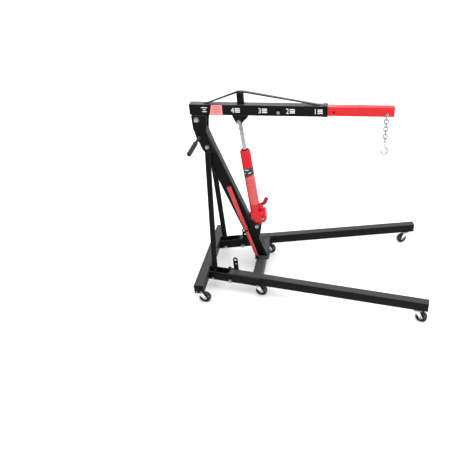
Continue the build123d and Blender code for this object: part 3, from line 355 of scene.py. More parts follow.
def arc(x: float, y: float, radius: float, start: float, end: float, steps: int = 12) -> Array:
    """Open run of points on a circle, from one angle in degrees to another."""
    turn = np.radians(np.linspace(start, end, steps))
    return np.stack((x + radius * np.cos(turn), y + radius * np.sin(turn)), -1)


def rounded(corners: Sequence[Point], radius: float, steps: int = 5, closed: bool = True) -> Array:
    """Polygon or bent line whose corners are arcs tangent to both sides.

    Args:
        corners: sharp corners in order.
        radius: arc radius, less where a side is too short for it.
        steps: points on each arc.
        closed: the last corner joins the first.
    """
    sharp = np.array(corners, float)
    runs = [] if closed else [sharp[:1]]
    chosen = range(len(sharp)) if closed else range(1, len(sharp) - 1)
    for i in chosen:
        here = sharp[i]
        back, ahead = sharp[i - 1] - here, sharp[(i + 1) % len(sharp)] - here
        a, b = unit(back), unit(ahead)
        half = acos(float(np.clip(a @ b, -0.9999, 0.9999))) / 2
        reach = min(radius / tan(half), 0.48 * min(np.linalg.norm(back), np.linalg.norm(ahead)))
        bend = reach * tan(half)
        centre = here + unit(a + b) * bend / sin(half)
        first = atan2(*(here + a * reach - centre)[::-1])
        last = atan2(*(here + b * reach - centre)[::-1])
        sweep = (last - first + pi) % tau - pi
        turn = first + sweep * np.linspace(0, 1, steps)
        runs.append(centre + bend * np.stack((np.cos(turn), np.sin(turn)), -1))
    return np.vstack(runs if closed else [*runs, sharp[-1:]])


def carried(section: Array, path: Array, across: Array, scale: Array | None = None, wrap: bool = False
) -> Surface:
    """Section carried along a flat path.

    A point (u, v) of the section goes to path + u (tangent x across) + v across, with u and v
    scaled at each station.

    Args:
        section: closed loop of (u, v).
        path: stations, n by 3.
        across: direction square to the path's plane.
        scale: scale of u and v at each station, n by 2.
        wrap: the path is a closed loop.
    """
    if wrap:
        tangent = np.roll(path, -1, 0) - np.roll(path, 1, 0)
    else:
        tangent = np.gradient(path, axis=0)
    side = unit(np.cross(unit(tangent), across))
    size = np.ones((len(path), 2)) if scale is None else scale
    u = section[None, :, :1] * size[:, None, :1]
    v = section[None, :, 1:] * size[:, None, 1:]
    return grid(path[:, None, :] + u * side[:, None, :] + v * across, wrap)


def weld(corners: Sequence[Array], radius: float = 3.0, pitch: float = 4.6) -> Surface:
    """Weld bead: a round of radius r (1 + 0.22 |sin(pi s / pitch)|) along a bent line.

    Args:
        corners: points of the line, taken as straight between them.
        radius: smallest radius of the bead.
        pitch: length of one ripple.
    """
    line = np.array(corners, float)
    reach = np.concatenate(((0,), np.cumsum(np.linalg.norm(np.diff(line, axis=0), axis=1))))
    s = np.arange(0, reach[-1], pitch / 4)
    path = np.stack([np.interp(s, reach, line[:, k]) for k in range(3)], -1)
    tangent = unit(np.gradient(path, axis=0))
    side = unit(np.cross(tangent, (0.31, 0.52, 0.79)))
    other = np.cross(tangent, side)
    taper = np.minimum(1, 0.35 + 0.2 * np.arange(len(s)))
    size = (radius * (1 + 0.22 * np.abs(np.sin(pi * s / pitch))) * taper * taper[::-1])[:, None, None]
    turn = np.linspace(0, tau, 8, endpoint=False)[None, :, None]
    ring = np.cos(turn) * side[:, None] + np.sin(turn) * other[:, None]
    return grid(path[:, None] + size * ring)


def square_weld(place: Place, width: float, depth: float, radius: float = 3.0) -> Surface:
    """Bead round the foot of a rectangular tube that stands on a place's xy plane."""
    loop = rounded_ring(width, depth, 3.0, 3)
    loop = np.vstack((loop, loop[:2]))
    return weld(place.at(np.column_stack((loop, np.zeros(len(loop))))), radius)


# ---------------------------------------------------------------- fasteners


def hex_prism(across: float, height: float) -> Surface:
    """Bolt head or nut on local z.

    At angle a a flat lies at (across / 2) / cos(a'), with a' measured from the flat's middle, and
    the top falls at 30 degrees outside the circle that the flats touch.
    """
    a = np.linspace(0, tau, 48, endpoint=False)
    flat = across / 2 / np.cos((a + pi / 6) % (pi / 3) - pi / 6)
    inside = 0.94 * across / 2
    rows = []
    for share in (0.35, 0.8, 0.93, 1.0):
        radius = share * flat
        rows.append((radius, height - tan(pi / 6) * np.maximum(0, radius - inside)))
    rows.append((flat, np.full_like(a, 0.0)))
    rings = [np.stack((r * np.cos(a), r * np.sin(a), z), -1) for r, z in rows]
    return grid(np.array(rings))


def threaded_end(radius: float, length: float, pitch: float = 1.5) -> Surface:
    """End of a thread on local z: the radius ripples by a sawtooth with the pitch."""
    turns = max(int(length / pitch), 1)
    profile = []
    for n in range(turns):
        profile += [(radius, (n + 0.15) * pitch), (radius - 0.5, (n + 0.6) * pitch)]
    profile += [(radius - 0.3, turns * pitch), (radius - 1.2, turns * pitch + 0.8)]
    return lathe([(radius - 0.5, -1.0), *profile], 24)


def bolt(place: Place, radius: float, grip: float, across: float, washer: float = 0.0) -> Surface:
    """Hexagon bolt: its head in front of the place's plane, its nut a grip behind it.

    Args:
        place: local z out of the head.
        radius: thread radius.
        grip: thickness that is clamped.
        across: size across the flats.
        washer: outer radius of the washers, or 0 for none.
    """
    seat = 2.0 if washer else 0.0
    parts = [hex_prism(across, 0.42 * across).placed(place.moved(z=seat))]
    stamp = ring_profile(0.2 * across, 0.27 * across, -0.2, 0.35, 0.15)
    parts.append(lathe(stamp, 24, True).placed(place.moved(z=seat + 0.42 * across)))
    back = Place(place.at((0, 0, -grip)), place.x, -place.y, -place.z)
    parts.append(hex_prism(across, 0.48 * across).placed(back.moved(z=seat)))
    parts.append(threaded_end(radius, 0.3 * across).placed(back.moved(z=seat + 0.42 * across)))
    parts.append(lathe(pin_profile(radius, -grip - 2, 2, 0.4), 24).placed(place))
    if washer:
        disc = ring_profile(radius + 0.4, washer, 0, seat, 0.4)
        parts += [lathe(disc, 40, True).placed(p) for p in (place, back)]
    return join(parts)


# ---------------------------------------------------------------- finishes


class Shader:
    """Node tree of one material, read on Object coordinates in metres."""

    def __init__(self, name: str) -> None:
        """Make the material with its surface shader."""
        self.material = bpy.data.materials.new(name)
        self.material.use_nodes = True
        self.tree = self.material.node_tree
        self.surface = self.tree.nodes["Principled BSDF"]
        self.coordinates = self.tree.nodes.new("ShaderNodeTexCoord").outputs["Object"]

    def set(self, **values: object) -> None:
        """Set sockets of the surface shader, named with _ for a space."""
        for name, value in values.items():
            self.surface.inputs[name.replace("_", " ")].default_value = value

    def drive(self, name: str, source: bpy.types.NodeSocket) -> None:
        """Link a socket into one of the surface shader's."""
        self.tree.links.new(source, self.surface.inputs[name])

    def noise(self, scale: float, detail: float = 4.0, stretch: Sequence[float] = (1, 1, 1)
    ) -> bpy.types.NodeSocket:
        """Noise with so many cells a metre, stretched along an axis by a scale below 1."""
        mapping = self.tree.nodes.new("ShaderNodeMapping")
        mapping.inputs["Scale"].default_value = stretch
        texture = self.tree.nodes.new("ShaderNodeTexNoise")
        texture.inputs["Scale"].default_value = scale
        texture.inputs["Detail"].default_value = detail
        self.tree.links.new(self.coordinates, mapping.inputs["Vector"])
        self.tree.links.new(mapping.outputs[0], texture.inputs["Vector"])
        return texture.outputs["Fac"]

    def remap(self, source: bpy.types.NodeSocket, low: float, high: float, start: float, end: float
    ) -> bpy.types.NodeSocket:
        """Source's range from low to high brought to the range from start to end."""
        node = self.tree.nodes.new("ShaderNodeMapRange")
        for name, value in zip(("From Min", "From Max", "To Min", "To Max"), (low, high, start, end)):
            node.inputs[name].default_value = value
        self.tree.links.new(source, node.inputs["Value"])
        return node.outputs["Result"]

    def blend(self, factor: bpy.types.NodeSocket, first: object, second: Sequence[float]
    ) -> bpy.types.NodeSocket:
        """Colour between first, a colour or a socket, and second, by the factor."""
        node = self.tree.nodes.new("ShaderNodeMix")
        node.data_type = "RGBA"
        self.tree.links.new(factor, node.inputs[0])
        if isinstance(first, bpy.types.NodeSocket):
            self.tree.links.new(first, node.inputs[6])
        else:
            node.inputs[6].default_value = (*first, 1)
        node.inputs[7].default_value = (*second, 1)
        return node.outputs[2]

    def bump(self, height: bpy.types.NodeSocket, distance: float, strength: float = 1.0,
        under: bpy.types.NodeSocket | None = None) -> bpy.types.NodeSocket:
        """Bump of a depth in metres, over another one if given."""
        node = self.tree.nodes.new("ShaderNodeBump")
        node.inputs["Distance"].default_value = distance
        node.inputs["Strength"].default_value = strength
        self.tree.links.new(height, node.inputs["Height"])
        if under is not None:
            self.tree.links.new(under, node.inputs["Normal"])
        return node.outputs["Normal"]

    def facing(self, way: Sequence[float], low: float, high: float) -> bpy.types.NodeSocket:
        """Mask from 0 to 1 as the piece's own normal turns towards a direction: n . way."""
        dot = self.tree.nodes.new("ShaderNodeVectorMath")
        dot.operation = "DOT_PRODUCT"
        dot.inputs[1].default_value = way
        self.tree.links.new(self.coordinates.node.outputs["Normal"], dot.inputs[0])
        return self.remap(dot.outputs["Value"], low, high, 0.0, 1.0)

    def worn_edges(self, radius: float, patchy: bpy.types.NodeSocket) -> bpy.types.NodeSocket:
        """Mask that is 1 on sharp edges: how far a rounded normal leans from the true one."""
        bevel = self.tree.nodes.new("ShaderNodeBevel")
        bevel.samples = 3
        bevel.inputs["Radius"].default_value = radius
        geometry = self.tree.nodes.new("ShaderNodeNewGeometry")
        dot = self.tree.nodes.new("ShaderNodeVectorMath")
        dot.operation = "DOT_PRODUCT"
        self.tree.links.new(bevel.outputs[0], dot.inputs[0])
        self.tree.links.new(geometry.outputs["Normal"], dot.inputs[1])
        lean = self.remap(dot.outputs["Value"], 0.995, 0.90, 0.0, 1.0)
        both = self.tree.nodes.new("ShaderNodeMath")
        both.operation = "MULTIPLY"
        self.tree.links.new(lean, both.inputs[0])
        self.tree.links.new(self.remap(patchy, 0.42, 0.62, 0.0, 1.0), both.inputs[1])
        return both.outputs[0]


class Finish:
    """A named finish whose material is made once."""

    name: str

    def material(self) -> bpy.types.Material:
        """The finish's material, made on first use."""
        made = bpy.data.materials.get(self.name)
        if made is None:
            shader = Shader(self.name)
            self.paint(shader)
            made = shader.material
        return made

    def paint(self, shader: Shader) -> None:
        """Build the finish's nodes."""
        raise NotImplementedError


@dataclass(frozen=True)
class Paint(Finish):
    """Sprayed and baked paint: orange peel, slow changes of tone and gloss, chipped edges."""

    name: str
    colour: tuple[float, float, float]
    faded: tuple[float, float, float]
    chipped: tuple[float, float, float]
    roughness: tuple[float, float]
    specular: float
    coat: float = 0.0
    # Painted highlight colour for faces turned up and ahead; None leaves them plain.
    dust_and_highlight_tone: tuple[float, float, float] | None = None

    def paint(self, shader: Shader) -> None:
        """Tone from slow noise, a painted highlight that lightens faces turned up and ahead, worn edges,
        peel from fine noise.
        """
        slow = shader.noise(3.5, 5)
        fine = shader.noise(420, 2)
        scuff = shader.noise(34, 6, (1, 1, 0.35))
        tone = shader.blend(shader.remap(slow, 0.35, 0.7, 0, 1), self.colour, self.faded)
        if self.dust_and_highlight_tone is not None:
            # Painted highlight: faces turned up and ahead are lightened towards the highlight colour,
            # standing in for light from above and ahead.
            lit_face_mask = shader.facing((0.6, 0.0, 0.8), 0.45, 0.8)
            tone = shader.blend(lit_face_mask, tone, self.dust_and_highlight_tone)
        chips = shader.worn_edges(0.0016, scuff)
        shader.drive("Base Color", shader.blend(chips, tone, self.chipped))
        shader.drive("Roughness", shader.remap(scuff, 0.3, 0.75, *self.roughness))
        peel = shader.bump(fine, 0.00022, 0.5)
        shader.drive("Normal", shader.bump(slow, 0.0012, 0.25, peel))
        shader.set(Specular_IOR_Level=self.specular, Coat_Weight=self.coat, Coat_Roughness=0.12)


@dataclass(frozen=True)
class Metal(Finish):
    """Bare or plated steel: blotches of tone, fine scratches along one axis."""

    name: str
    colour: tuple[float, float, float]
    stained: tuple[float, float, float]
    roughness: tuple[float, float]
    stretch: tuple[float, float, float] = (1, 1, 0.2)
    depth: float = 0.00012
    metallic: float = 1.0

    def paint(self, shader: Shader) -> None:
        """Tone and gloss from blotches, bump from stretched scratches."""
        blotch = shader.noise(60, 5)
        scratch = shader.noise(900, 3, self.stretch)
        tone = shader.blend(shader.remap(blotch, 0.4, 0.72, 0, 1), self.colour, self.stained)
        shader.drive("Base Color", tone)
        shader.drive("Roughness", shader.remap(blotch, 0.3, 0.7, *self.roughness))
        shader.drive("Normal", shader.bump(scratch, self.depth, 0.6))
        shader.set(Metallic=self.metallic)


@dataclass(frozen=True)
class Moulded(Finish):
    """Moulded polymer or rubber: matt grain, patches of dust and scuffs."""

    name: str
    colour: tuple[float, float, float]
    dust_and_highlight_tone: tuple[float, float, float]
    roughness: tuple[float, float]
    grain: float = 700.0

    def paint(self, shader: Shader) -> None:
        """Tone from patches of dust, bump from the mould's grain."""
        patch = shader.noise(45, 6)
        grain = shader.noise(self.grain, 2)
        tone = shader.blend(shader.remap(patch, 0.48, 0.8, 0, 1), self.colour, self.dust_and_highlight_tone)
        shader.drive("Base Color", tone)
        shader.drive("Roughness", shader.remap(patch, 0.3, 0.75, *self.roughness))
        shader.drive("Normal", shader.bump(grain, 0.00018, 0.6))
        shader.set(Specular_IOR_Level=0.35)


@dataclass(frozen=True)
class Printed(Finish):
    """Printed film: flat ink that is rubbed thin in places."""

    name: str
    ink: tuple[float, float, float]
    rubbed: tuple[float, float, float]
    roughness: float = 0.42

    def paint(self, shader: Shader) -> None:
        """Ink that gives way to the rubbed tone where fine noise is high."""
        rub = shader.noise(160, 6)
        faint = shader.noise(25, 3)
        ink = shader.blend(shader.remap(rub, 0.52, 0.74, 0, 0.75), self.ink, self.rubbed)
        shader.drive("Base Color", ink)
        shader.drive("Roughness", shader.remap(faint, 0.3, 0.7, self.roughness, self.roughness + 0.12))
        shader.drive("Normal", shader.bump(rub, 0.00008, 0.4))


# The last colour is a painted highlight for faces turned up and ahead, much lighter than the black itself.
BLACK_POWDER = Paint(
    "black_powder_coat", (0.0030, 0.0030, 0.0034), (0.0055, 0.0055, 0.006), (0.16, 0.16, 0.16),
    (0.36, 0.52), 0.08, 0.0, (0.050, 0.050, 0.051))
RED_ENAMEL = Paint("red_enamel", (0.60, 0.004, 0.009), (0.52, 0.005, 0.010), (0.30, 0.012, 0.012),
    (0.26, 0.38), 0.26, 0.12)
DULL_RED = Paint("dull_red_enamel", (0.50, 0.026, 0.032), (0.42, 0.03, 0.035), (0.20, 0.03, 0.03),
    (0.34, 0.48), 0.40, 0.1)
DEEP_RED = Paint("deep_red_enamel", (0.34, 0.004, 0.014), (0.27, 0.006, 0.014), (0.14, 0.012, 0.014),
    (0.32, 0.46), 0.24)
ZINC = Metal("zinc_plate", (0.36, 0.36, 0.355), (0.20, 0.195, 0.18), (0.22, 0.40))
FORK_ZINC = Metal("bright_zinc_pressing", (0.80, 0.80, 0.79), (0.62, 0.61, 0.58), (0.16, 0.34))
CHAIN_STEEL = Metal("chain_steel", (0.34, 0.34, 0.33), (0.20, 0.19, 0.17), (0.26, 0.44))
HOOK_STEEL = Metal("hook_steel", (0.62, 0.62, 0.60), (0.36, 0.35, 0.33), (0.22, 0.40))
CHROME = Metal("hard_chrome", (0.42, 0.435, 0.45), (0.26, 0.27, 0.285), (0.08, 0.18), (1, 1, 0.02), 0.000006
)
WHEEL_BLACK = Moulded("wheel_polymer_black", (0.010, 0.010, 0.011), (0.035, 0.034, 0.032), (0.36, 0.58))
GRIP_BLACK = Moulded("grip_rubber_black", (0.012, 0.012, 0.012), (0.03, 0.03, 0.03), (0.55, 0.8), 1100)
WHITE_INK = Printed("white_ink", (0.78, 0.78, 0.77), (0.30, 0.30, 0.30))
BLACK_FILM = Printed("black_film", (0.010, 0.010, 0.012), (0.05, 0.02, 0.02))
PALE_RED_FILM = Printed("pale_red_film", (0.56, 0.075, 0.075), (0.52, 0.04, 0.04))
PINK_FILM = Printed("pink_film", (0.80, 0.26, 0.25), (0.70, 0.13, 0.13))


# ---------------------------------------------------------------- pieces


def make_piece(name: str, surface: Surface, finish: Finish, body: str,
    stands_for: Sequence[str] = (), crease: float = 38.0) -> bpy.types.Object:
    """Turn a surface into a piece that rides on a body.

    Args:
        name: piece's name.
        surface: its points in millimetres and its faces.
        finish: its material.
        body: the body that it rides on.
        stands_for: CAD nodes that it replaces.
        crease: angle in degrees past which an edge stays sharp.

    Returns:
        The piece.
    """
    mesh = bpy.data.meshes.new(name)
    faces = [tuple(face) for block in surface.faces for face in block.tolist()]
    mesh.from_pydata((surface.points * MM).tolist(), [], faces)
    mesh.materials.append(finish.material())
    mesh.shade_smooth()
    mesh.set_sharp_from_angle(angle=radians(crease))
    piece = bpy.data.objects.new(name, mesh)
    bpy.context.scene.collection.objects.link(piece)
    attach(piece, body)
    if stands_for:
        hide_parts(*stands_for)
    log.info("%s on %s: %d faces, %s", name, body, len(faces), finish.name)
    return piece


def digits(text: str, height: float, thickness: float = 0.3) -> Surface:
    """Numerals as a thin solid in local x and y, about their middle, made a mesh at once."""
    curve = bpy.data.curves.new("digits", "FONT")
    curve.body = text
    curve.align_x, curve.align_y = "CENTER", "CENTER"
    curve.extrude = 0.5
    curve.resolution_u = 6
    holder = bpy.data.objects.new("digits", curve)
    bpy.context.scene.collection.objects.link(holder)
    mesh = bpy.data.meshes.new_from_object(holder)
    points = np.empty(len(mesh.vertices) * 3)
    mesh.vertices.foreach_get("co", points)
    points = points.reshape(-1, 3)
    span = np.ptp(points[:, 1])
    middle = (points.max(0) + points.min(0)) / 2
    points = (points - middle) * (height / span * 0.82, height / span, thickness)
    faces = [np.array([face.vertices[:]]) for face in mesh.polygons]
    bpy.data.objects.remove(holder)
    return Surface(points, faces).outward()


# ---------------------------------------------------------------- base and legs


@dataclass
class Base:
    """Rear crossbar, splayed channels, front crossmember, lugs and their bolts."""

    crossbar_depth: float = 69.0
    crossbar_length: float = 814.0
    bottom: float = 103.5
    height: float = 74.0
    channel_width: float = 69.5
    wall: float = 4.0
    channel_length: float = 417.0
    offset: float = 198.0
    splay: float = 10.86
    crossmember_rear: float = 342.0
    crossmember_front: float = 410.0
    pivot: Point = (180.0, 116.0)
    slot_rear: float = 72.5
    slot_front: float = 37.0
    lug_along: float = 205.0
    lug_radius: float = 18.5
    lug_top: float = 287.0
    lug_thickness: float = 6.0

    @property
    def top(self) -> float:
        """Height of the base's upper faces."""
        return self.bottom + self.height

    @property
    def crossbar_middle(self) -> float:
        """Place ahead of the crossbar's middle."""
        return -self.crossbar_depth / 2

    def along(self, outwards: float = 0.0) -> Place:
        """Right channel's side plane: local x along it, local y up, local z outwards."""
        turn = radians(self.splay)
        out = np.array((-sin(turn), -cos(turn), 0.0))
        start = forward(0, -self.offset, 0) + out * outwards
        return Place(start, np.array((cos(turn), -sin(turn), 0.0)), UP, out)

    def crossbar(self) -> None:
        """Closed rectangular tube across the rear, with the screws at its ends."""
        start = forward(self.crossbar_middle, -self.crossbar_length / 2, self.bottom + self.height / 2)
        place = axis_place(start, start - RIGHT_HAND)
        bar = tube(self.crossbar_depth, self.height, self.crossbar_length, 5.0, edge=1.6)
        make_piece("crossbar_tube", bar.placed(place), BLACK_POWDER, "frame", ["rear_crossbar"])
        bolts = []
        for side in Side:
            for shift in (-18.0, 18.0):
                head = forward(self.crossbar_middle + shift, -self.crossbar_length / 2, self.bottom + 16)
                screw = bolt(axis_place(head, head + RIGHT_HAND), 4.0, 3.5, 12.0)
                bolts.append(screw.on(side))
        make_piece("crossbar_screws", join(bolts), ZINC, "frame", ["crossbar_end_bolts"])

    def channel(self, side: Side) -> None:
        """Channel folded from plate: two walls and a floor that is open under the leg's heel."""
        half = self.channel_width / 2
        skew = tan(radians(self.splay))
        parts = []
        for outwards in (half - self.wall, -half):
            start = (outwards + self.wall / 2) * skew - 2
            outline = rounded([(start, self.bottom), (self.channel_length, self.bottom),
                 (self.channel_length, self.top), (start, self.top)], 3.0)
            parts.append(plate(outline, self.wall, 1.2).placed(self.along(outwards)))
        inside = half - self.wall + 0.5
        reach = (self.pivot[0] - self.slot_rear, self.pivot[0] + self.slot_front)
        for start, end in ((0.0, reach[0]), (reach[1], self.channel_length - 1)):
            outline = np.array([(start, self.bottom + 0.3), (end, self.bottom + 0.3),
                 (end, self.bottom + self.wall), (start, self.bottom + self.wall)])
            parts.append(plate(outline, 2 * inside, 0.4).placed(self.along(-inside)))
        name = f"{side.word}_channel"
        make_piece(name + "_section", join(parts).on(side), BLACK_POWDER, "frame", [name])

    def crossmember(self) -> None:
        """Closed box between the channels, its ends cut to the splay."""
        half = self.channel_width / 2 / cos(radians(self.splay))
        corners = []
        for ahead, sign in ((self.crossmember_rear, -1), (self.crossmember_front, -1),
            (self.crossmember_front, 1), (self.crossmember_rear, 1)):
            reach = self.offset + ahead * tan(radians(self.splay)) - half
            corners.append((FRONT + ahead, sign * reach))
        place = Place(np.array((0, 0, self.bottom)), FORWARD, -RIGHT_HAND, UP)
        box = plate(np.array(corners), self.height, 2.4).placed(place)
        make_piece("crossmember_box", box, BLACK_POWDER, "frame", ["front_crossmember"])

    def seams(self) -> None:
        """Weld beads where the channels meet the crossbar and the crossmember."""
        beads = []
        half = self.channel_width / 2
        for side in Side:
            for outwards in (half, -half):
                at_bar = outwards * tan(radians(self.splay)) + 0.5
                place = self.along(outwards)
                beads.append(
                    weld([
                        place.at((at_bar, self.bottom + 3, 0)), place.at((at_bar, self.top - 3, 0)),
                    ]).on(side)
                )
            inner = self.along(-half)
            for ahead in (self.crossmember_rear, self.crossmember_front):
                run = ahead / cos(radians(self.splay)) + half * tan(radians(self.splay))
                beads.append(
                    weld([inner.at((run, self.bottom + 3, 0)), inner.at((run, self.top - 2, 0))]).on(side))
        make_piece("base_seams", join(beads), BLACK_POWDER, "frame")

    def lug(self, side: Side) -> Surface:
        """Upright lug inside the channel: a round-topped strip with a small bump at its foot."""
        x, r, top = self.lug_along, self.lug_radius, self.lug_top
        low = self.top - 40
        outline = np.vstack([[(155, low), (225, low), (225, self.top - 1)],
                arc(x + r + 5, self.top + 5, 5, 268, 180, 4), arc(x, top - r, r, 0, 180, 20),
                arc(x - r - 5, self.top + 9, 5, 0, -80, 4), arc(154, self.top, 14, 18, 250, 16)])
        holes = [circle(x, top - 22, 9), circle(x + 4, top - 58, 6)]
        strip = plate(outline, self.lug_thickness, 0.9, holes)
        return strip.placed(self.along(-self.channel_width / 2 - self.lug_thickness)).on(side)

    def lugs(self) -> None:
        """Both lugs with the beads that hold them."""
        lugs = join([self.lug(side) for side in Side])
        make_piece("fold_lugs", lugs, BLACK_POWDER, "frame", ["leg_lugs"])
        place = self.along(-self.channel_width / 2 - 1)
        line = [place.at((157, self.top - 0.5, 0)), place.at((226, self.top - 0.5, 0))]
        make_piece("lug_seams", join([weld(line, 2.4).on(side) for side in Side]),
            BLACK_POWDER, "frame")

    def pivot_bolts(self) -> None:
        """Bolts that the legs fold on."""
        seat = self.along(self.channel_width / 2)
        head = bolt(seat.moved(*self.pivot), 8.0, self.channel_width, 24.0, 15.0)
        make_piece("leg_hinge_bolts", join([head.on(side) for side in Side]),
            ZINC, "frame", ["leg_pivot_bolts"])

    def build(self) -> None:
        """Every piece of the base."""
        self.crossbar()
        for side in Side:
            self.channel(side)
        self.crossmember()
        self.seams()
        self.lugs()
        self.pivot_bolts()


@dataclass
class Legs:
    """Folding legs that lie in the channels, and the pins that lock them."""

    base: Base
    width: float = 58.0
    height: float = 72.5
    bottom: float = 108.0
    heel: float = 146.0
    heel_radius: float = 30.0
    tip: float = 1655.0
    lock_along: float = 402.0
    lock_height: float = 118.5
    lock_radius: float = 6.0
    lock_travel: float = 12.0

    def leg(self, side: Side) -> None:
        """Rectangular tube whose heel is open and rounded at the top and whose tip is capped."""
        length, edge, wall = self.tip - self.heel, 1.6, 3.5
        sections = [(length - wall, wall + 6), (length - wall, wall), (0.3, wall), (0.0, wall - 0.6)]
        sections += [(0.0, 0.6), (0.6, 0.0), (40.0, 0.0), (length - edge, 0.0)]
        sections += [(length - 0.3 * edge, 0.3 * edge), (length, edge)]
        body = loft([(s, self.width - 2 * i, self.height - 2 * i, 4.5 - i) for s, i in sections])
        points = body.points.copy()
        rise = points[:, 1] + self.height / 2
        over = np.clip(rise - (self.height - self.heel_radius), 0, self.heel_radius - 0.2)
        back = self.heel_radius - np.sqrt(self.heel_radius**2 - over**2)
        points[:, 2] += back * (1 - np.clip(points[:, 2] / 40.0, 0, 1))
        seat = self.base.along()
        place = Place(seat.at((self.heel, self.bottom + self.height / 2, 0)), -seat.z, seat.y, seat.x)
        name = f"{side.word}_leg"
        leg = Surface(points, body.faces).placed(place).on(side)
        make_piece(name + "_tube", leg, BLACK_POWDER, name, [name])
        cap = axis_place(seat.at((self.tip - 4.0, self.bottom + self.height / 2, 0)),
                         seat.at((self.tip, self.bottom + self.height / 2, 0)))
        loop = rounded_ring(self.width - 3, self.height - 3, 4, 4)
        ring = np.vstack((loop, loop[:2]))
        flat = Place(cap.origin, -seat.z, seat.y, seat.x)
        bead = weld(flat.at(np.column_stack((ring, np.full(len(ring), 2.6)))), 1.4, 3.6)
        make_piece(name + "_tip_seam", bead.on(side), BLACK_POWDER, name)

    def lock_pin(self, side: Side) -> None:
        """Pin with a knob, drawn back from the leg."""
        tip = self.width / 2 + 1.0
        seat = self.base.channel_width / 2 + self.lock_travel + 1
        place = self.base.along().moved(self.lock_along, self.lock_height, 0)
        profile = [(self.lock_radius - 2, tip), (self.lock_radius, tip + 2), (self.lock_radius, seat),
            (9.6, seat + 0.2), (11, seat + 1.4), (11, seat + 5.2), (9.8, seat + 6.4),
            (8.6, seat + 6.6), (8.4, seat + 8.4), (7.2, seat + 9)]
        pin = lathe(profile, 36).placed(place)
        name = f"{side.word}_lock_pin"
        make_piece(name + "_turned", pin.on(side), ZINC, name, [name])

    def build(self) -> None:
        """Both legs and both pins."""
        for side in Side:
            self.leg(side)
            self.lock_pin(side)


# ---------------------------------------------------------------- casters


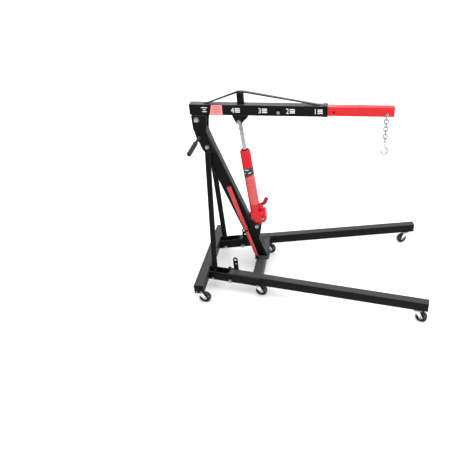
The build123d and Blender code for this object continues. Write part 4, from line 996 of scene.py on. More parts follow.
@dataclass
class Caster:
    """Swivel caster about its own kingpin: pressed fork, double race and spoked wheel."""

    name: str
    turn: float
    plate_turn: float
    frame_body: str
    stands_for: str
    lift: float = 0.0
    wheel_radius: float = 43.0
    wheel_width: float = 28.0
    trail: float = 29.0
    inside: float = 32.0
    sheet: float = 2.5
    plate_size: float = 60.0
    plate_top: float = 103.5
    plate_thickness: float = 4.0
    hub_radius: float = 13.0
    axle_radius: float = 5.0

    @property
    def centre(self) -> Array:
        """Kingpin's place on the floor: a wheel's middle lies a trail away from it."""
        low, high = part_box(self.name + "_wheel")
        middle = np.array((low + high) / 2) / MM
        t = radians(self.turn)
        return np.array((middle[0] - self.trail * cos(t), middle[1] - self.trail * sin(t), 0.0))

    def place(self, turn: float) -> Place:
        """Place on the floor under the kingpin, turned about it."""
        t = radians(turn)
        return Place(self.centre, np.array((cos(t), sin(t), 0.0)), np.array((-sin(t), cos(t), 0.0)), UP)

    def wheel_place(self) -> Place:
        """Wheel's middle, local z along the axle."""
        seat = self.place(self.turn)
        return Place(seat.at((self.trail, 0, self.wheel_radius)), seat.x, seat.z, -seat.y)

    def mounting(self) -> Surface:
        """Plate with its bolts, race ring and riveted kingpin."""
        low = self.plate_top - self.plate_thickness
        seat = self.place(self.plate_turn)
        outline = rounded_ring(self.plate_size, self.plate_size, 6)
        parts = [plate(outline, self.plate_thickness + self.lift, 0.8).placed(seat.moved(z=low))]
        race = [(8, low - 7.8), (22.4, low - 7.8), (24, low - 6.6), (24, low - 4.6), (21.5, low - 3.6),
            (21.5, low - 2.4), (24, low - 1.2), (23, low + 0.2), (8, low + 0.2)]
        parts.append(lathe(race, 48, True).placed(seat))
        parts.append(lathe([(4.0, low - 18.4), (7.0, low - 17.6), (9.0, low - 15.4), (6.0, low - 13.4),
                            (6.0, low)], 24).placed(seat))
        for x in (-20, 20):
            for y in (-20, 20):
                under = Place(seat.at((x, y, low)), seat.x, -seat.y, -seat.z)
                parts.append(hex_prism(9.0, 3.0).placed(under))
        return join(parts)

    def fork(self) -> Surface:
        """Sheet bent down both sides: a strip between two edges that narrow to the axle."""
        top = self.plate_top - self.plate_thickness - 8.4
        middle = self.inside / 2 + self.sheet / 2
        bend, axle = 6.0, self.wheel_radius
        down = [(-middle, axle - 12.6), (-middle, axle - 11.4), (-middle, axle - 8.5), (-middle, axle - 4)]
        down += [(-middle, z) for z in np.linspace(axle + 2, top - self.sheet / 2 - bend, 7)]
        corner = arc(-middle + bend, top - self.sheet / 2 - bend, bend, 180, 90, 7)[1:]
        half_path = np.vstack((down, corner, [(-5.0, top - self.sheet / 2)]))
        path = np.vstack((half_path, half_path[::-1] * (-1, 1)))
        y, z = path.T
        reach = np.sqrt(np.maximum(13.0**2 - np.minimum(z - axle, 0) ** 2, 1.0))
        left = np.where(
            z < axle, self.trail - reach, np.interp(z, (axle, 79, 84, top), (16, -17, -19, -19))
        )
        right = np.where(z < axle, self.trail + reach, np.interp(z, (axle, 82, top), (42, 21, 19)))
        crown = np.clip((bend + 12 - np.abs(y)) / 12, 0, 1) * (z > top - 2)
        left, right = left - 5.0 * crown, right + 5.0 * crown
        tangent = unit(np.gradient(path, axis=0))
        normal = np.stack((-tangent[:, 1], tangent[:, 0]), -1) * self.sheet / 2
        share = np.array((0.0, 0.04, 0.35, 0.65, 0.96, 1.0))
        x = left[:, None] + (right - left)[:, None] * share
        thin = np.array((0.35, 1.0, 1.0, 1.0, 1.0, 0.35))
        layers = []
        for sign in (1, -1):
            yy = y[:, None] + sign * normal[:, :1] * thin
            zz = z[:, None] + sign * normal[:, 1:] * thin
            layers.append(np.stack((x, yy, zz), -1))
        return sheet(*layers).placed(self.place(self.turn))

    def axle(self) -> Surface:
        """Axle bolt through the fork."""
        seat = self.wheel_place()
        out = self.inside / 2 + self.sheet
        return bolt(seat.moved(z=out), self.axle_radius, 2 * out, 13.0)

    def tread(self) -> Surface:
        """Rim and crowned tread: a closed profile turned round the axle."""
        half, r = self.wheel_width / 2, self.wheel_radius
        right = [(r - 13, half - 6), (r - 12, half - 2.6), (r - 9, half - 1.0), (r - 5, half),
            (r - 2.6, half - 0.6), (r - 1.1, half - 2.4), (r - 0.35, half - 5.6), (r - 0.05, half - 10)]
        profile = right + [(radius, -h) for radius, h in reversed(right)]
        return lathe(profile, 72, True).placed(self.wheel_place())

    def web(self) -> Surface:
        """Disc with its ring of holes, and a hub with ribs between the holes."""
        seat, ring = self.wheel_place(), self.wheel_radius - 21
        holes = [circle(0, 0, self.hub_radius - 4, 32)]
        for turn in np.arange(6) * pi / 3:
            holes.append(circle(ring * cos(turn), ring * sin(turn), 5.5, 20))
        disc = plate(circle(0, 0, self.wheel_radius - 12.5, 60), 9.0, 1.0, holes)
        parts = [disc.placed(seat.moved(z=-4.5))]
        hub = ring_profile(self.axle_radius + 1.0, self.hub_radius, -14.0, 14.0, 1.4)
        parts.append(lathe(hub, 40, True).placed(seat))
        for turn in (np.arange(6) + 0.5) * pi / 3:
            way = seat.x * cos(turn) + seat.y * sin(turn)
            start = seat.origin + way * (self.hub_radius - 1)
            rib = loft([(0, 3, 22, 1.2), (17, 3, 15, 1.2)])
            parts.append(rib.placed(axis_place(start, start + way, seat.z)).outward())
        return join(parts)

    def bearing(self) -> Surface:
        """Thread guard rings each side of the hub."""
        seat = self.wheel_place()
        rings = [ring_profile(self.axle_radius + 0.1, 9.6, low, low + 1.6, 0.4) for low in (-15.4, 13.8)]
        return join([lathe(ring, 32, True).placed(seat) for ring in rings])

    def build(self) -> None:
        """Every piece of the caster on its bodies."""
        fork, wheel = self.name + "_fork", self.name + "_wheel"
        nodes = [self.stands_for] if self.stands_for else []
        make_piece(self.name + "_mounting", self.mounting(), ZINC, self.frame_body, nodes)
        make_piece(self.name + "_yoke", self.fork(), FORK_ZINC, fork, [fork])
        make_piece(self.name + "_axle", self.axle(), ZINC, fork)
        make_piece(self.name + "_tread", self.tread(), WHEEL_BLACK, wheel, [wheel])
        make_piece(self.name + "_web", self.web(), WHEEL_BLACK, wheel)
        make_piece(self.name + "_bearing", self.bearing(), ZINC, wheel)


# ---------------------------------------------------------------- mast


@dataclass
class Mast:
    """Leaning mast with its cheeks, braces, foot plates and push handle."""

    base: Base
    depth: float = 84.0
    width: float = 67.0
    lean: float = 19.35
    foot_ahead: float = 386.0
    foot_plate: float = 8.0
    top: float = 1250.0
    cheek: float = 8.0
    boom_pivot: Point = (4.0, 1315.7)
    brace_height: float = 1118.0
    brace_foot: Point = (42.0, 119.0)
    push_bar: Point = (4.0, 1182.0)
    push_radius: float = 10.0
    push_end: float = 302.0
    grip_radius: float = 16.5
    grip_length: float = 172.0
    ram_foot: Point = (361.6, 467.0)

    @property
    def cheek_out(self) -> float:
        """Distance from the middle to a cheek's outer face."""
        return self.width / 2 + self.cheek

    def ahead(self, height: float, across: float = 0.0) -> float:
        """Place ahead of the mast's axis at a height, moved across its depth."""
        turn = radians(self.lean)
        return self.foot_ahead - (height - self.base.top) * tan(turn) + across / cos(turn)

    def post(self) -> None:
        """Upright tube sheared back by its lean, so that its ends stay level."""
        low = self.base.top + self.foot_plate
        depth = self.depth / cos(radians(self.lean))
        post = tube(depth, self.width, self.top - low, 6.0, edge=1.4)
        points = post.points.copy()
        points[:, 0] -= points[:, 2] * tan(radians(self.lean))
        start = forward(self.ahead(low), 0, low)
        place = Place(start, FORWARD, -RIGHT_HAND, UP)
        parts = [Surface(points, post.faces).placed(place)]
        foot = plate(rounded_ring(self.depth + 20, self.width + 54, 5), self.foot_plate, 1.2)
        seat = Place(forward(self.foot_ahead - 2, 0, self.base.top), FORWARD, -RIGHT_HAND, UP)
        parts.append(foot.placed(seat))
        make_piece("mast_post", join(parts), BLACK_POWDER, "frame", ["mast"])
        beads = [square_weld(place, depth, self.width, 3.4)]
        beads.append(square_weld(seat.moved(z=0.5), self.depth + 20, self.width + 54, 3.0))
        make_piece("mast_seams", join(beads), BLACK_POWDER, "frame")

    def cheeks(self) -> None:
        """Plates each side of the mast's head that carry the boom."""
        x, z = self.boom_pivot
        half = self.depth / 2
        outline = rounded([(x - 35, z + 28), (x - 33, z - 50), (self.ahead(1195, -half), 1195),
             (self.ahead(1085, -half), 1085), (self.ahead(1070, half - 8), 1070),
             (self.ahead(1230, half), 1230), (x + 64, z - 24), (x + 74, z + 28)], 9.0)
        right = plate(outline, self.cheek, 1.2).placed(side_place(-self.width / 2))
        make_piece("head_cheeks", join([right.on(side) for side in Side]),
            BLACK_POWDER, "frame", ["mast_cheeks"])

    def brace(self, side: Side) -> None:
        """Rectangular tube from the mast's head to the channel, with pressed tabs at its ends."""
        base = self.base
        top = (self.ahead(self.brace_height), self.cheek_out + 3, self.brace_height)
        foot_run = self.brace_foot[0] / cos(radians(base.splay))
        foot_across = -base.along().at((foot_run, 0, 0))[1]
        foot = (self.brace_foot[0], foot_across, self.brace_foot[1])

        def on_line(height: float) -> Array:
            """Point of the brace's axis at a height: the share of the way down from its top."""
            share = (top[2] - height) / (top[2] - foot[2])
            ahead, across, _ = (a + (b - a) * share for a, b in zip(top, foot))
            return forward(ahead, -across, height)

        start, end = on_line(top[2] - 62), on_line(foot[2] + 46)
        place = axis_place(start, end)
        length = float(np.linalg.norm(end - start))
        body = [(-26, 38, 7, 2.6), (-14, 38, 8, 3), (6, 38, 20, 5), (8, 38, 20, 5)]
        body += [(length - 12, 38, 20, 5), (length - 2, 37, 18, 5), (length + 18, 32, 8, 3),
                 (length + 26, 30, 7, 2.6)]
        parts = [loft(body).placed(place).outward()]
        tab = self.slot_outline(top[0], top[2] - 54, top[2], 19)
        parts.append(plate(tab, 6, 1.2).placed(side_place(-self.cheek_out)))
        seat = base.along(-3)
        low = base.bottom + base.wall + 1
        tab = self.slot_outline(foot_run, low + 14, foot[2] + 40, 14)
        parts.append(plate(tab, 6, 1.0).placed(seat))
        name = f"{side.word}_brace"
        make_piece(name + "_strut", join(parts).on(side), BLACK_POWDER, "frame", [name])

    @staticmethod
    def slot_outline(x: float, low: float, high: float, radius: float) -> Array:
        """Upright slot: half circles of a radius about two heights."""
        return np.vstack((arc(x, high, radius, 0, 180), arc(x, low, radius, 180, 360)))

    def brace_bolts(self) -> None:
        """Long bolt through the mast's head, and a bolt through each channel."""
        outer = self.cheek_out + 6
        head = forward(self.ahead(self.brace_height), -outer, self.brace_height)
        parts = [bolt(axis_place(head, head + RIGHT_HAND), 7.0, 2 * outer, 22.0, 14.0)]
        seat = self.base.along(self.base.channel_width / 2)
        run = self.brace_foot[0] / cos(radians(self.base.splay))
        foot = bolt(seat.moved(run, self.brace_foot[1]), 7.0, self.base.channel_width, 20.0)
        parts += [foot.on(side) for side in Side]
        make_piece("strut_bolts", join(parts), ZINC, "frame", ["brace_bolts"])

    def push_handle(self) -> None:
        """Bar out of the mast's right side, with a ribbed rubber grip."""
        seat = side_place(0).moved(*self.push_bar)
        out = self.cheek_out
        bar = lathe(pin_profile(self.push_radius, -out - 8, self.push_end, 2.0), 32)
        ring = ring_profile(self.push_radius - 1, 1.5 * self.push_radius, out, out + 5, 1.2)
        collar = lathe(ring, 40, True)
        back = Place(seat.at((0, 0, -out)), seat.x, -seat.y, -seat.z)
        nut = hex_prism(3 * self.push_radius * cos(pi / 6), 13.0).placed(back)
        parts = [bar.placed(seat), collar.placed(seat), nut]
        make_piece("push_handle_bar", join(parts), BLACK_POWDER, "frame", ["push_bar"])
        start = self.push_end + 4 - self.grip_length
        r = self.grip_radius
        profile: list[Point] = [
            (self.push_radius, start), (r - 0.6, start), (r, start + 1.2), (r, start + 4)
        ]
        for n in range(19):
            s = start + 9 + n * 8.0
            profile += [(r - 2.2, s - 2.6), (r - 2.2, s - 1.0), (r - 0.9, s + 0.4), (r - 0.9, s + 3.2)]
        end = start + self.grip_length
        profile += [(r - 2.0, end - 5), (r - 1.2, end - 3), (r - 2.6, end - 0.8), (r - 6, end), (3, end)]
        grip = lathe(profile, 48).placed(seat)
        make_piece("push_handle_grip", grip, GRIP_BLACK, "frame", ["push_grip"])

    def ram_brackets(self) -> None:
        """Plates on the mast's front that hold the ram's foot."""
        x, z = self.ram_foot
        half = self.depth / 2
        outline = rounded([(self.ahead(545, half - 30), 545), (self.ahead(545, half), 545), (x - 8, z + 30),
             (x + 14, z + 26), (x + 30, z + 8), (x + 26, z - 16), (self.ahead(352, half), 352),
             (self.ahead(330, half - 30), 330)], 8.0)
        right = plate(outline, 6.0, 1.0).placed(side_place(-self.width / 2))
        make_piece("ram_foot_brackets", join([right.on(side) for side in Side]),
            BLACK_POWDER, "frame", ["ram_foot_plates"])
        line = [forward(self.ahead(h, half + 0.5), -self.width / 2 - 1.0, h) for h in (352, 545)]
        beads = [weld(line, 2.4).on(side) for side in Side]
        make_piece("ram_bracket_seams", join(beads), BLACK_POWDER, "frame")

    def build(self) -> None:
        """Every piece of the mast."""
        self.post()
        self.cheeks()
        for side in Side:
            self.brace(side)
        self.brace_bolts()
        self.push_handle()
        self.ram_brackets()


# ---------------------------------------------------------------- boom


def drilled_tube(width: float, height: float, length: float, wall: float, radius: float,
                 holes: Sequence[Point], closed: str) -> Surface:
    """Tube along local x whose right wall is drilled.

    The drilled wall is a plate, and the other three are a channel section carried along the tube.

    Args:
        width: size across, local z.
        height: size up, local y, about the tube's middle.
        length: size along local x.
        wall: thickness.
        radius: outer corner radius.
        holes: place along and height from the middle of each hole, with its radius.
        closed: end that has a wall, "rear" or "front".
    """
    edge = 0.8 * wall
    outline = rounded_ring(length, height, 1.5) + (length / 2, 0)
    loops = [circle(x, y, r) for x, y, r in holes]
    face = Place(np.zeros(3), FORWARD, np.array((0.0, 1.0, 0.0)), np.array((0.0, 0.0, 1.0)))
    parts = [plate(outline, wall, edge * 0.45, loops).placed(face.moved(z=width / 2 - wall))]
    a, b = width / 2, height / 2
    lip = a - wall + 0.4
    outer = np.vstack(([(lip, -b + 0.4)], arc(-a + radius, -b + radius, radius, 270, 180, 6),
                       arc(-a + radius, b - radius, radius, 180, 90, 6), [(lip, b - 0.4)]))
    inner = outer.copy()
    inner[:, 1] = np.clip(outer[:, 1], -b + wall, b - wall)
    inner[:, 0] = np.maximum(outer[:, 0], -a + wall)
    section = np.vstack((outer, inner[::-1]))
    rows = np.array([0.0, length])
    z, y = section.T
    points = np.stack((np.broadcast_to(rows[:, None], (2, len(z))), np.broadcast_to(y, (2, len(y))),
         np.broadcast_to(z, (2, len(z)))), -1)
    parts.append(grid(points))
    start = 0.6 if closed == "rear" else length - 0.6 - wall
    cap = loft([(start, width - 2, height - 2, radius), (start + wall, width - 2, height - 2, radius)])
    turned = Place(np.zeros(3), np.array((0.0, 0.0, 1.0)), np.array((0.0, 1.0, 0.0)), FORWARD)
    parts.append(cap.placed(turned).outward())
    return join(parts)


@dataclass
class Boom:
    """Boom tube with its pivot lugs, trussed king post, ram bracket, numerals and pivot bolts."""

    mast: Mast
    width: float = 64.0
    height: float = 72.0
    bottom: float = 1346.8
    rear: float = -39.0
    front: float = 888.0
    wall: float = 3.5
    pivot_bolt: float = 11.0
    king_post: float = 306.0
    post_depth: float = 44.0
    post_top: float = 1497.0
    strap: float = 10.0
    strap_width: float = 26.0
    strap_rear: float = 84.0
    strap_front: float = 812.0
    ram_head: Point = (289.0, 1300.0)
    ram_pin: float = 9.5
    bracket: float = 6.0
    lock_hole: float = 560.0
    hole_pitch: float = 184.0
    hole_drop: float = 6.0
    lock_radius: float = 6.0
    lock_travel: float = 12.0

    @property
    def top(self) -> float:
        """Height of the boom's upper face."""
        return self.bottom + self.height

    @property
    def middle(self) -> float:
        """Height of the boom's middle."""
        return self.bottom + self.height / 2

    def shell(self) -> None:
        """Tube, with the collar round its mouth."""
        holes = [(x - self.rear, -self.hole_drop, self.lock_radius + 0.5)
                 for x in (self.lock_hole, self.lock_hole + self.hole_pitch)]
        length = self.front - self.rear
        seat = side_place(0).moved(self.rear, self.middle)
        body = drilled_tube(self.width, self.height, length, self.wall, 4.0, holes, "rear")
        make_piece("boom_shell", body.placed(seat), BLACK_POWDER, "boom", ["boom_tube"])
        collar = [(0.0, 0.8), (0.6, 0.0), (31.4, 0.0), (32.0, 0.8), (32.0, 2.6), (0.0, 2.6)]
        sections = [(s, self.width + 5 - 2 * i, self.height + 5 - 2 * i, 6.0 - i) for s, i in collar]
        place = Place(forward(self.front - 32.5, 0, self.middle), -RIGHT_HAND, UP, FORWARD)
        make_piece("boom_mouth_collar", loft(sections, True).placed(place).outward(),
            BLACK_POWDER, "boom")

    def pivot_lugs(self) -> None:
        """Plates under the boom's rear that turn between the cheeks, joined by a bush."""
        x, z = self.mast.boom_pivot
        level = self.bottom + 0.4
        outline = np.vstack(([(x - 34, level)], arc(x, z, 24, 205, 335, 16), [(x + 56, level)]))
        parts = [plate(outline, 6, 0.9, [circle(x, z, self.pivot_bolt + 0.2)]).placed(side_place(y))
                 for y in (self.width / 2 - 0.1, -self.width / 2 + 6.1)]
        half = self.width / 2
        bush = ring_profile(self.pivot_bolt + 0.1, self.pivot_bolt + 7, -half, half, 0.6)
        parts.append(lathe(bush, 40, True).placed(side_place(0).moved(x, z)))
        make_piece("boom_lugs", join(parts), BLACK_POWDER, "boom", ["boom_pivot_lugs"])
        head = forward(x, -self.mast.cheek_out - 0.4, z)
        grip = 2 * (self.mast.cheek_out + 0.4)
        screw = bolt(axis_place(head, head + RIGHT_HAND), self.pivot_bolt, grip, 30.0, 18.6)
        make_piece("boom_hinge_bolt", screw, ZINC, "boom_bolt", ["boom_pivot_bolt"])

    def truss(self) -> None:
        """King post and the two straps, each a flat bar carried along its bent line."""
        half = self.post_depth / 2
        post = tube(self.post_depth, self.strap_width + 10, self.post_top - self.top, 3.0, edge=1.2)
        foot = Place(forward(self.king_post, 0, self.top), FORWARD, -RIGHT_HAND, UP)
        make_piece("truss_post", post.placed(foot), BLACK_POWDER, "boom", ["king_post"])
        mid = self.strap / 2
        lines = {"rear": [(self.strap_rear - 26, self.top + 3.2), (self.strap_rear - 2, self.top + 3.4),
                     (self.king_post - half - 2, self.post_top + 0.6)],
            "front": [(self.strap_front + 26, self.top + 3.2), (self.strap_front + 2, self.top + 3.4),
                      (self.king_post + half + 4, self.post_top + mid - 0.2),
                      (self.king_post - half + 1, self.post_top + mid - 0.2)]}
        for end, line in lines.items():
            run = rounded(line, 22, 7, closed=False)
            path = np.stack((FRONT + run[:, 0], np.zeros(len(run)), run[:, 1]), -1)
            thin = np.ones((len(path), 2))
            flat = np.abs(run[:, 1] - (self.top + 3.3)) < 2.0
            thin[flat, 0] = 0.62
            bar = carried(rounded_ring(self.strap - 0.6, self.strap_width, 1.4, 4), path, RIGHT_HAND, thin)
            make_piece(f"{end}_strap_bar", bar, BLACK_POWDER, "boom", [f"{end}_truss_strap"])
        beads = [square_weld(foot.moved(z=0.5), self.post_depth, self.strap_width + 10, 2.6)]
        for x0, x1 in ((self.strap_rear - 26, self.strap_rear), (self.strap_front, self.strap_front + 26)):
            for y in (-self.strap_width / 2, self.strap_width / 2):
                beads.append(weld([forward(x0, y, self.top + 0.6), forward(x1, y, self.top + 0.6)], 2.2))
        make_piece("truss_seams", join(beads), BLACK_POWDER, "boom")

    def ram_bracket(self) -> None:
        """Tapered plates under the boom that hold the ram's head."""
        x, z = self.ram_head
        drop = self.bottom - 10
        outline = np.vstack((
            rounded([(x - 22, z), (x - 41, drop), (x - 41, self.bottom + 0.3)], 4, closed=False)[1:],
            rounded([(x + 65, self.bottom + 0.3), (x + 65, drop), (x + 22, z)], 4, closed=False)[:-1],
            arc(x, z + 1, 21.5, -28, -152, 14)))
        right = plate(outline, self.bracket, 1.0, [circle(x, z, self.ram_pin + 0.2)])
        right = right.placed(side_place(-self.width / 2 + self.bracket))
        make_piece("ram_head_bracket", join([right.on(side) for side in Side]),
            BLACK_POWDER, "boom", ["ram_head_plates"])
        line = [forward(x + s, -self.width / 2 + 0.4, self.bottom - 0.4) for s in (-40, 64)]
        beads = [weld(line, 2.2).on(side) for side in Side]
        make_piece("ram_head_seams", join(beads), BLACK_POWDER, "boom")

    def markings(self) -> None:
        """Numerals over plain bars at each setting, and the washed red plate near the pivot."""
        white, red, pink = [], [], []
        for side in Side:
            out = self.width / 2
            seat = Place(forward(0, side.value * out, self.middle), -side.value * FORWARD, UP,
                         -side.value * RIGHT_HAND)
            for number, x in zip(("4", "3", "2", "1"), (273.0, 455.0, 641.0, 826.0)):
                spot = seat.moved(x=-side.value * x)
                white.append(digits(number, 36.0).placed(spot.moved(x=-20, z=0.1)))
                for rise, reach in ((11.5, 34), (0, 34), (-11.5, 34)):
                    bar = plate(rounded_ring(reach, 7.0, 1.5), 0.3, 0.05)
                    white.append(bar.placed(spot.moved(x=12, y=rise, z=-0.05)))
            spot = seat.moved(x=-side.value * 144)
            lean = -side.value * 8.0
            outline = np.array([(-40 - lean, -35), (40, -35), (40, 35), (-40 + lean, 35)])
            red.append(plate(outline * (1.0, 0.97), 0.35, 0.05).placed(spot.moved(z=-0.05)))
            for rise, reach in ((22, 52), (6, 60), (-8, 60), (-22, 44)):
                bar = plate(rounded_ring(reach, 5.0, 1.2), 0.3, 0.05)
                pink.append(bar.placed(spot.moved(y=rise, z=0.25)))
            mark = seat.moved(x=-side.value * 63)
            for rise, reach in ((15, 42), (1, 20), (-13, 30)):
                bar = plate(rounded_ring(reach, 5.0, 1.6), 0.3, 0.05)
                white.append(bar.placed(mark.moved(y=rise, z=-0.05)))
        make_piece("boom_numerals", join(white), WHITE_INK, "boom")
        make_piece("boom_red_plate", join(red), PINK_FILM, "boom")
        make_piece("boom_red_plate_lines", join(pink), PALE_RED_FILM, "boom")

    def build(self) -> None:
        """Every piece of the boom."""
        self.shell()
        self.pivot_lugs()
        self.truss()
        self.ram_bracket()
        self.markings()


@dataclass
class Extension:
    """Sliding end of the boom with its lock pin, chain and hook."""

    boom: Boom
    gap: float = 1.2
    wall: float = 3.5
    rear: float = 360.0
    front: float = 1330.6
    chain_ahead: float = 1282.0
    chain_drop: float = 16.5
    chain_radius: float = 6.0
    wire: float = 4.0
    bend: float = 13.0
    straight: float = 9.0
    link_gap: float = 0.3
    hook_drop: float = 63.0
    hook_outer: float = 31.0
    hook_throat: float = 13.5
    eye_outer: float = 15.0
    eye_inner: float = 9.0
    hook_thickness: float = 12.0

    @property
    def size(self) -> tuple[float, float]:
        """Width and height of the sliding tube."""
        less = 2 * (self.boom.wall + self.gap)
        return self.boom.width - less, self.boom.height - less

    @property
    def chain_height(self) -> float:
        """Height of the chain bolt's axis."""
        return self.boom.middle - self.size[1] / 2 + self.chain_drop

    @property
    def pitch(self) -> float:
        """Distance from one link's middle to the next one's."""
        return self.straight + 2 * (self.bend - self.wire) - self.link_gap

    @property
    def first_link(self) -> float:
        """Height of the middle of the first link's upper bend."""
        return self.chain_height + self.chain_radius + self.link_gap + self.wire - self.bend

    def shell(self) -> None:
        """Red tube with its row of lock holes, and the bolt that carries the chain."""
        width, height = self.size
        length = self.front - self.rear
        holes = [(self.boom.lock_hole + n * self.boom.hole_pitch - self.rear, -self.boom.hole_drop,
                  self.boom.lock_radius + 0.5) for n in (-1, 0, 1, 2)]
        seat = side_place(0).moved(self.rear, self.boom.middle)
        body = drilled_tube(width, height, length, self.wall, 4.0, holes, "front")
        make_piece("extension_shell", body.placed(seat), RED_ENAMEL, "extension", ["extension"])
        head = forward(self.chain_ahead, -width / 2, self.chain_height)
        screw = bolt(axis_place(head, head + RIGHT_HAND), self.chain_radius, width, 19.0, 11.5)
        make_piece("chain_hanger_bolt", screw, ZINC, "extension", ["chain_bolt"])

    def lock_pin(self) -> None:
        """Pin that sets the reach: a shank and a flanged hexagon knob."""
        tip = self.size[0] / 2 + 0.6
        seat = self.boom.width / 2 + self.boom.lock_travel + 1
        place = side_place(0).moved(self.boom.lock_hole, self.boom.middle - self.boom.hole_drop)
        r = self.boom.lock_radius
        shank = [(r - 2, tip), (r, tip + 2), (r, seat), (10.2, seat + 0.2), (11, seat + 1.0),
                 (11, seat + 2.2), (9, seat + 2.6)]
        parts = [lathe(shank, 36).placed(place), hex_prism(18.0, 6.4).placed(place.moved(z=seat + 2.4))]
        make_piece(
            "reach_lock_pin", join(parts), ZINC, "extension_lock_pin", ["extension_lock_pin"])

    def link(self, number: int) -> Surface:
        """Oval link: a round wire carried along two half circles and the straights between."""
        top = self.first_link - number * self.pitch
        turn = np.concatenate((np.linspace(0, pi, 13), np.linspace(pi, tau, 13)))
        drop = np.repeat((0.0, -self.straight), 13)
        u = self.bend * np.cos(turn)
        rise = self.bend * np.sin(turn) + drop
        flat = FORWARD if number % 2 == 0 else -RIGHT_HAND
        path = forward(self.chain_ahead, 0, top) + u[:, None] * flat + rise[:, None] * UP
        wire = circle(0, 0, self.wire, 14)
        return carried(wire, path, np.cross(flat, UP), np.ones((len(path), 2)), wrap=True)

    def chain(self) -> None:
        """Eight links, in the two lengths that swing."""
        links = [self.link(n) for n in range(8)]
        for name, run, body in (
            ("chain_top_links", links[:3], "upper_chain"), ("chain_low_links", links[3:], "lower_chain"),
        ):
            make_piece(name, join(run), CHAIN_STEEL, body, [body])

    def hook(self) -> None:
        """Forged hook: an oval section that swells round the bowl and narrows to the tip."""
        last_wire = self.first_link - 7 * self.pitch - self.straight - self.bend
        eye = last_wire - (self.eye_inner - self.wire - 2.6)
        x, z = self.chain_ahead + 1, eye - self.hook_drop
        radius = (self.hook_outer + self.hook_throat) / 2
        turn = np.radians(np.linspace(48, -205, 46))
        bowl = np.stack((x + radius * np.cos(turn), z + radius * np.sin(turn)), -1)
        t = np.linspace(0, 1, 16)[:-1, None]
        start = np.array((self.chain_ahead, eye - 11.0))
        near = start + (0, -16)
        aim = bowl[0] - (bowl[1] - bowl[0]) / np.linalg.norm(bowl[1] - bowl[0]) * 14
        neck = (
            (1 - t) ** 3 * start + 3 * (1 - t) ** 2 * t * near
            + 3 * (1 - t) * t**2 * aim + t**3 * bowl[0]
        )
        line = np.vstack((neck, bowl))
        path = np.stack((FRONT + line[:, 0], np.zeros(len(line)), line[:, 1]), -1)
        share = np.linspace(0, 1, len(path))
        deep = np.interp(share, (0, 0.12, 0.3, 0.55, 0.85, 0.97, 1), (6.0, 6.4, 9.2, 10.8, 8.4, 5.2, 2.2))
        wide = np.interp(share, (0, 0.12, 0.35, 0.6, 0.88, 0.97, 1), (6.0, 6.2, 7.2, 7.4, 6.2, 4.4, 1.8))
        body = carried(circle(0, 0, 1.0, 20), path, RIGHT_HAND, np.stack((deep, wide), -1))
        turn = np.linspace(0, tau, 16, endpoint=False)
        middle = (self.eye_outer + self.eye_inner) / 2
        thick = (self.eye_outer - self.eye_inner) / 2
        ring = [(middle + thick * cos(a), 0.42 * self.hook_thickness * sin(a)) for a in turn]
        seat = side_place(0).moved(self.chain_ahead, eye)
        parts = [body, lathe(ring, 40, True).placed(seat)]
        make_piece("forged_hook", join(parts), HOOK_STEEL, "hook", ["grab_hook"])

    def build(self) -> None:
        """Every piece of the sliding end."""
        self.shell()
        self.lock_pin()
        self.chain()
        self.hook()


# ---------------------------------------------------------------- ram and handle


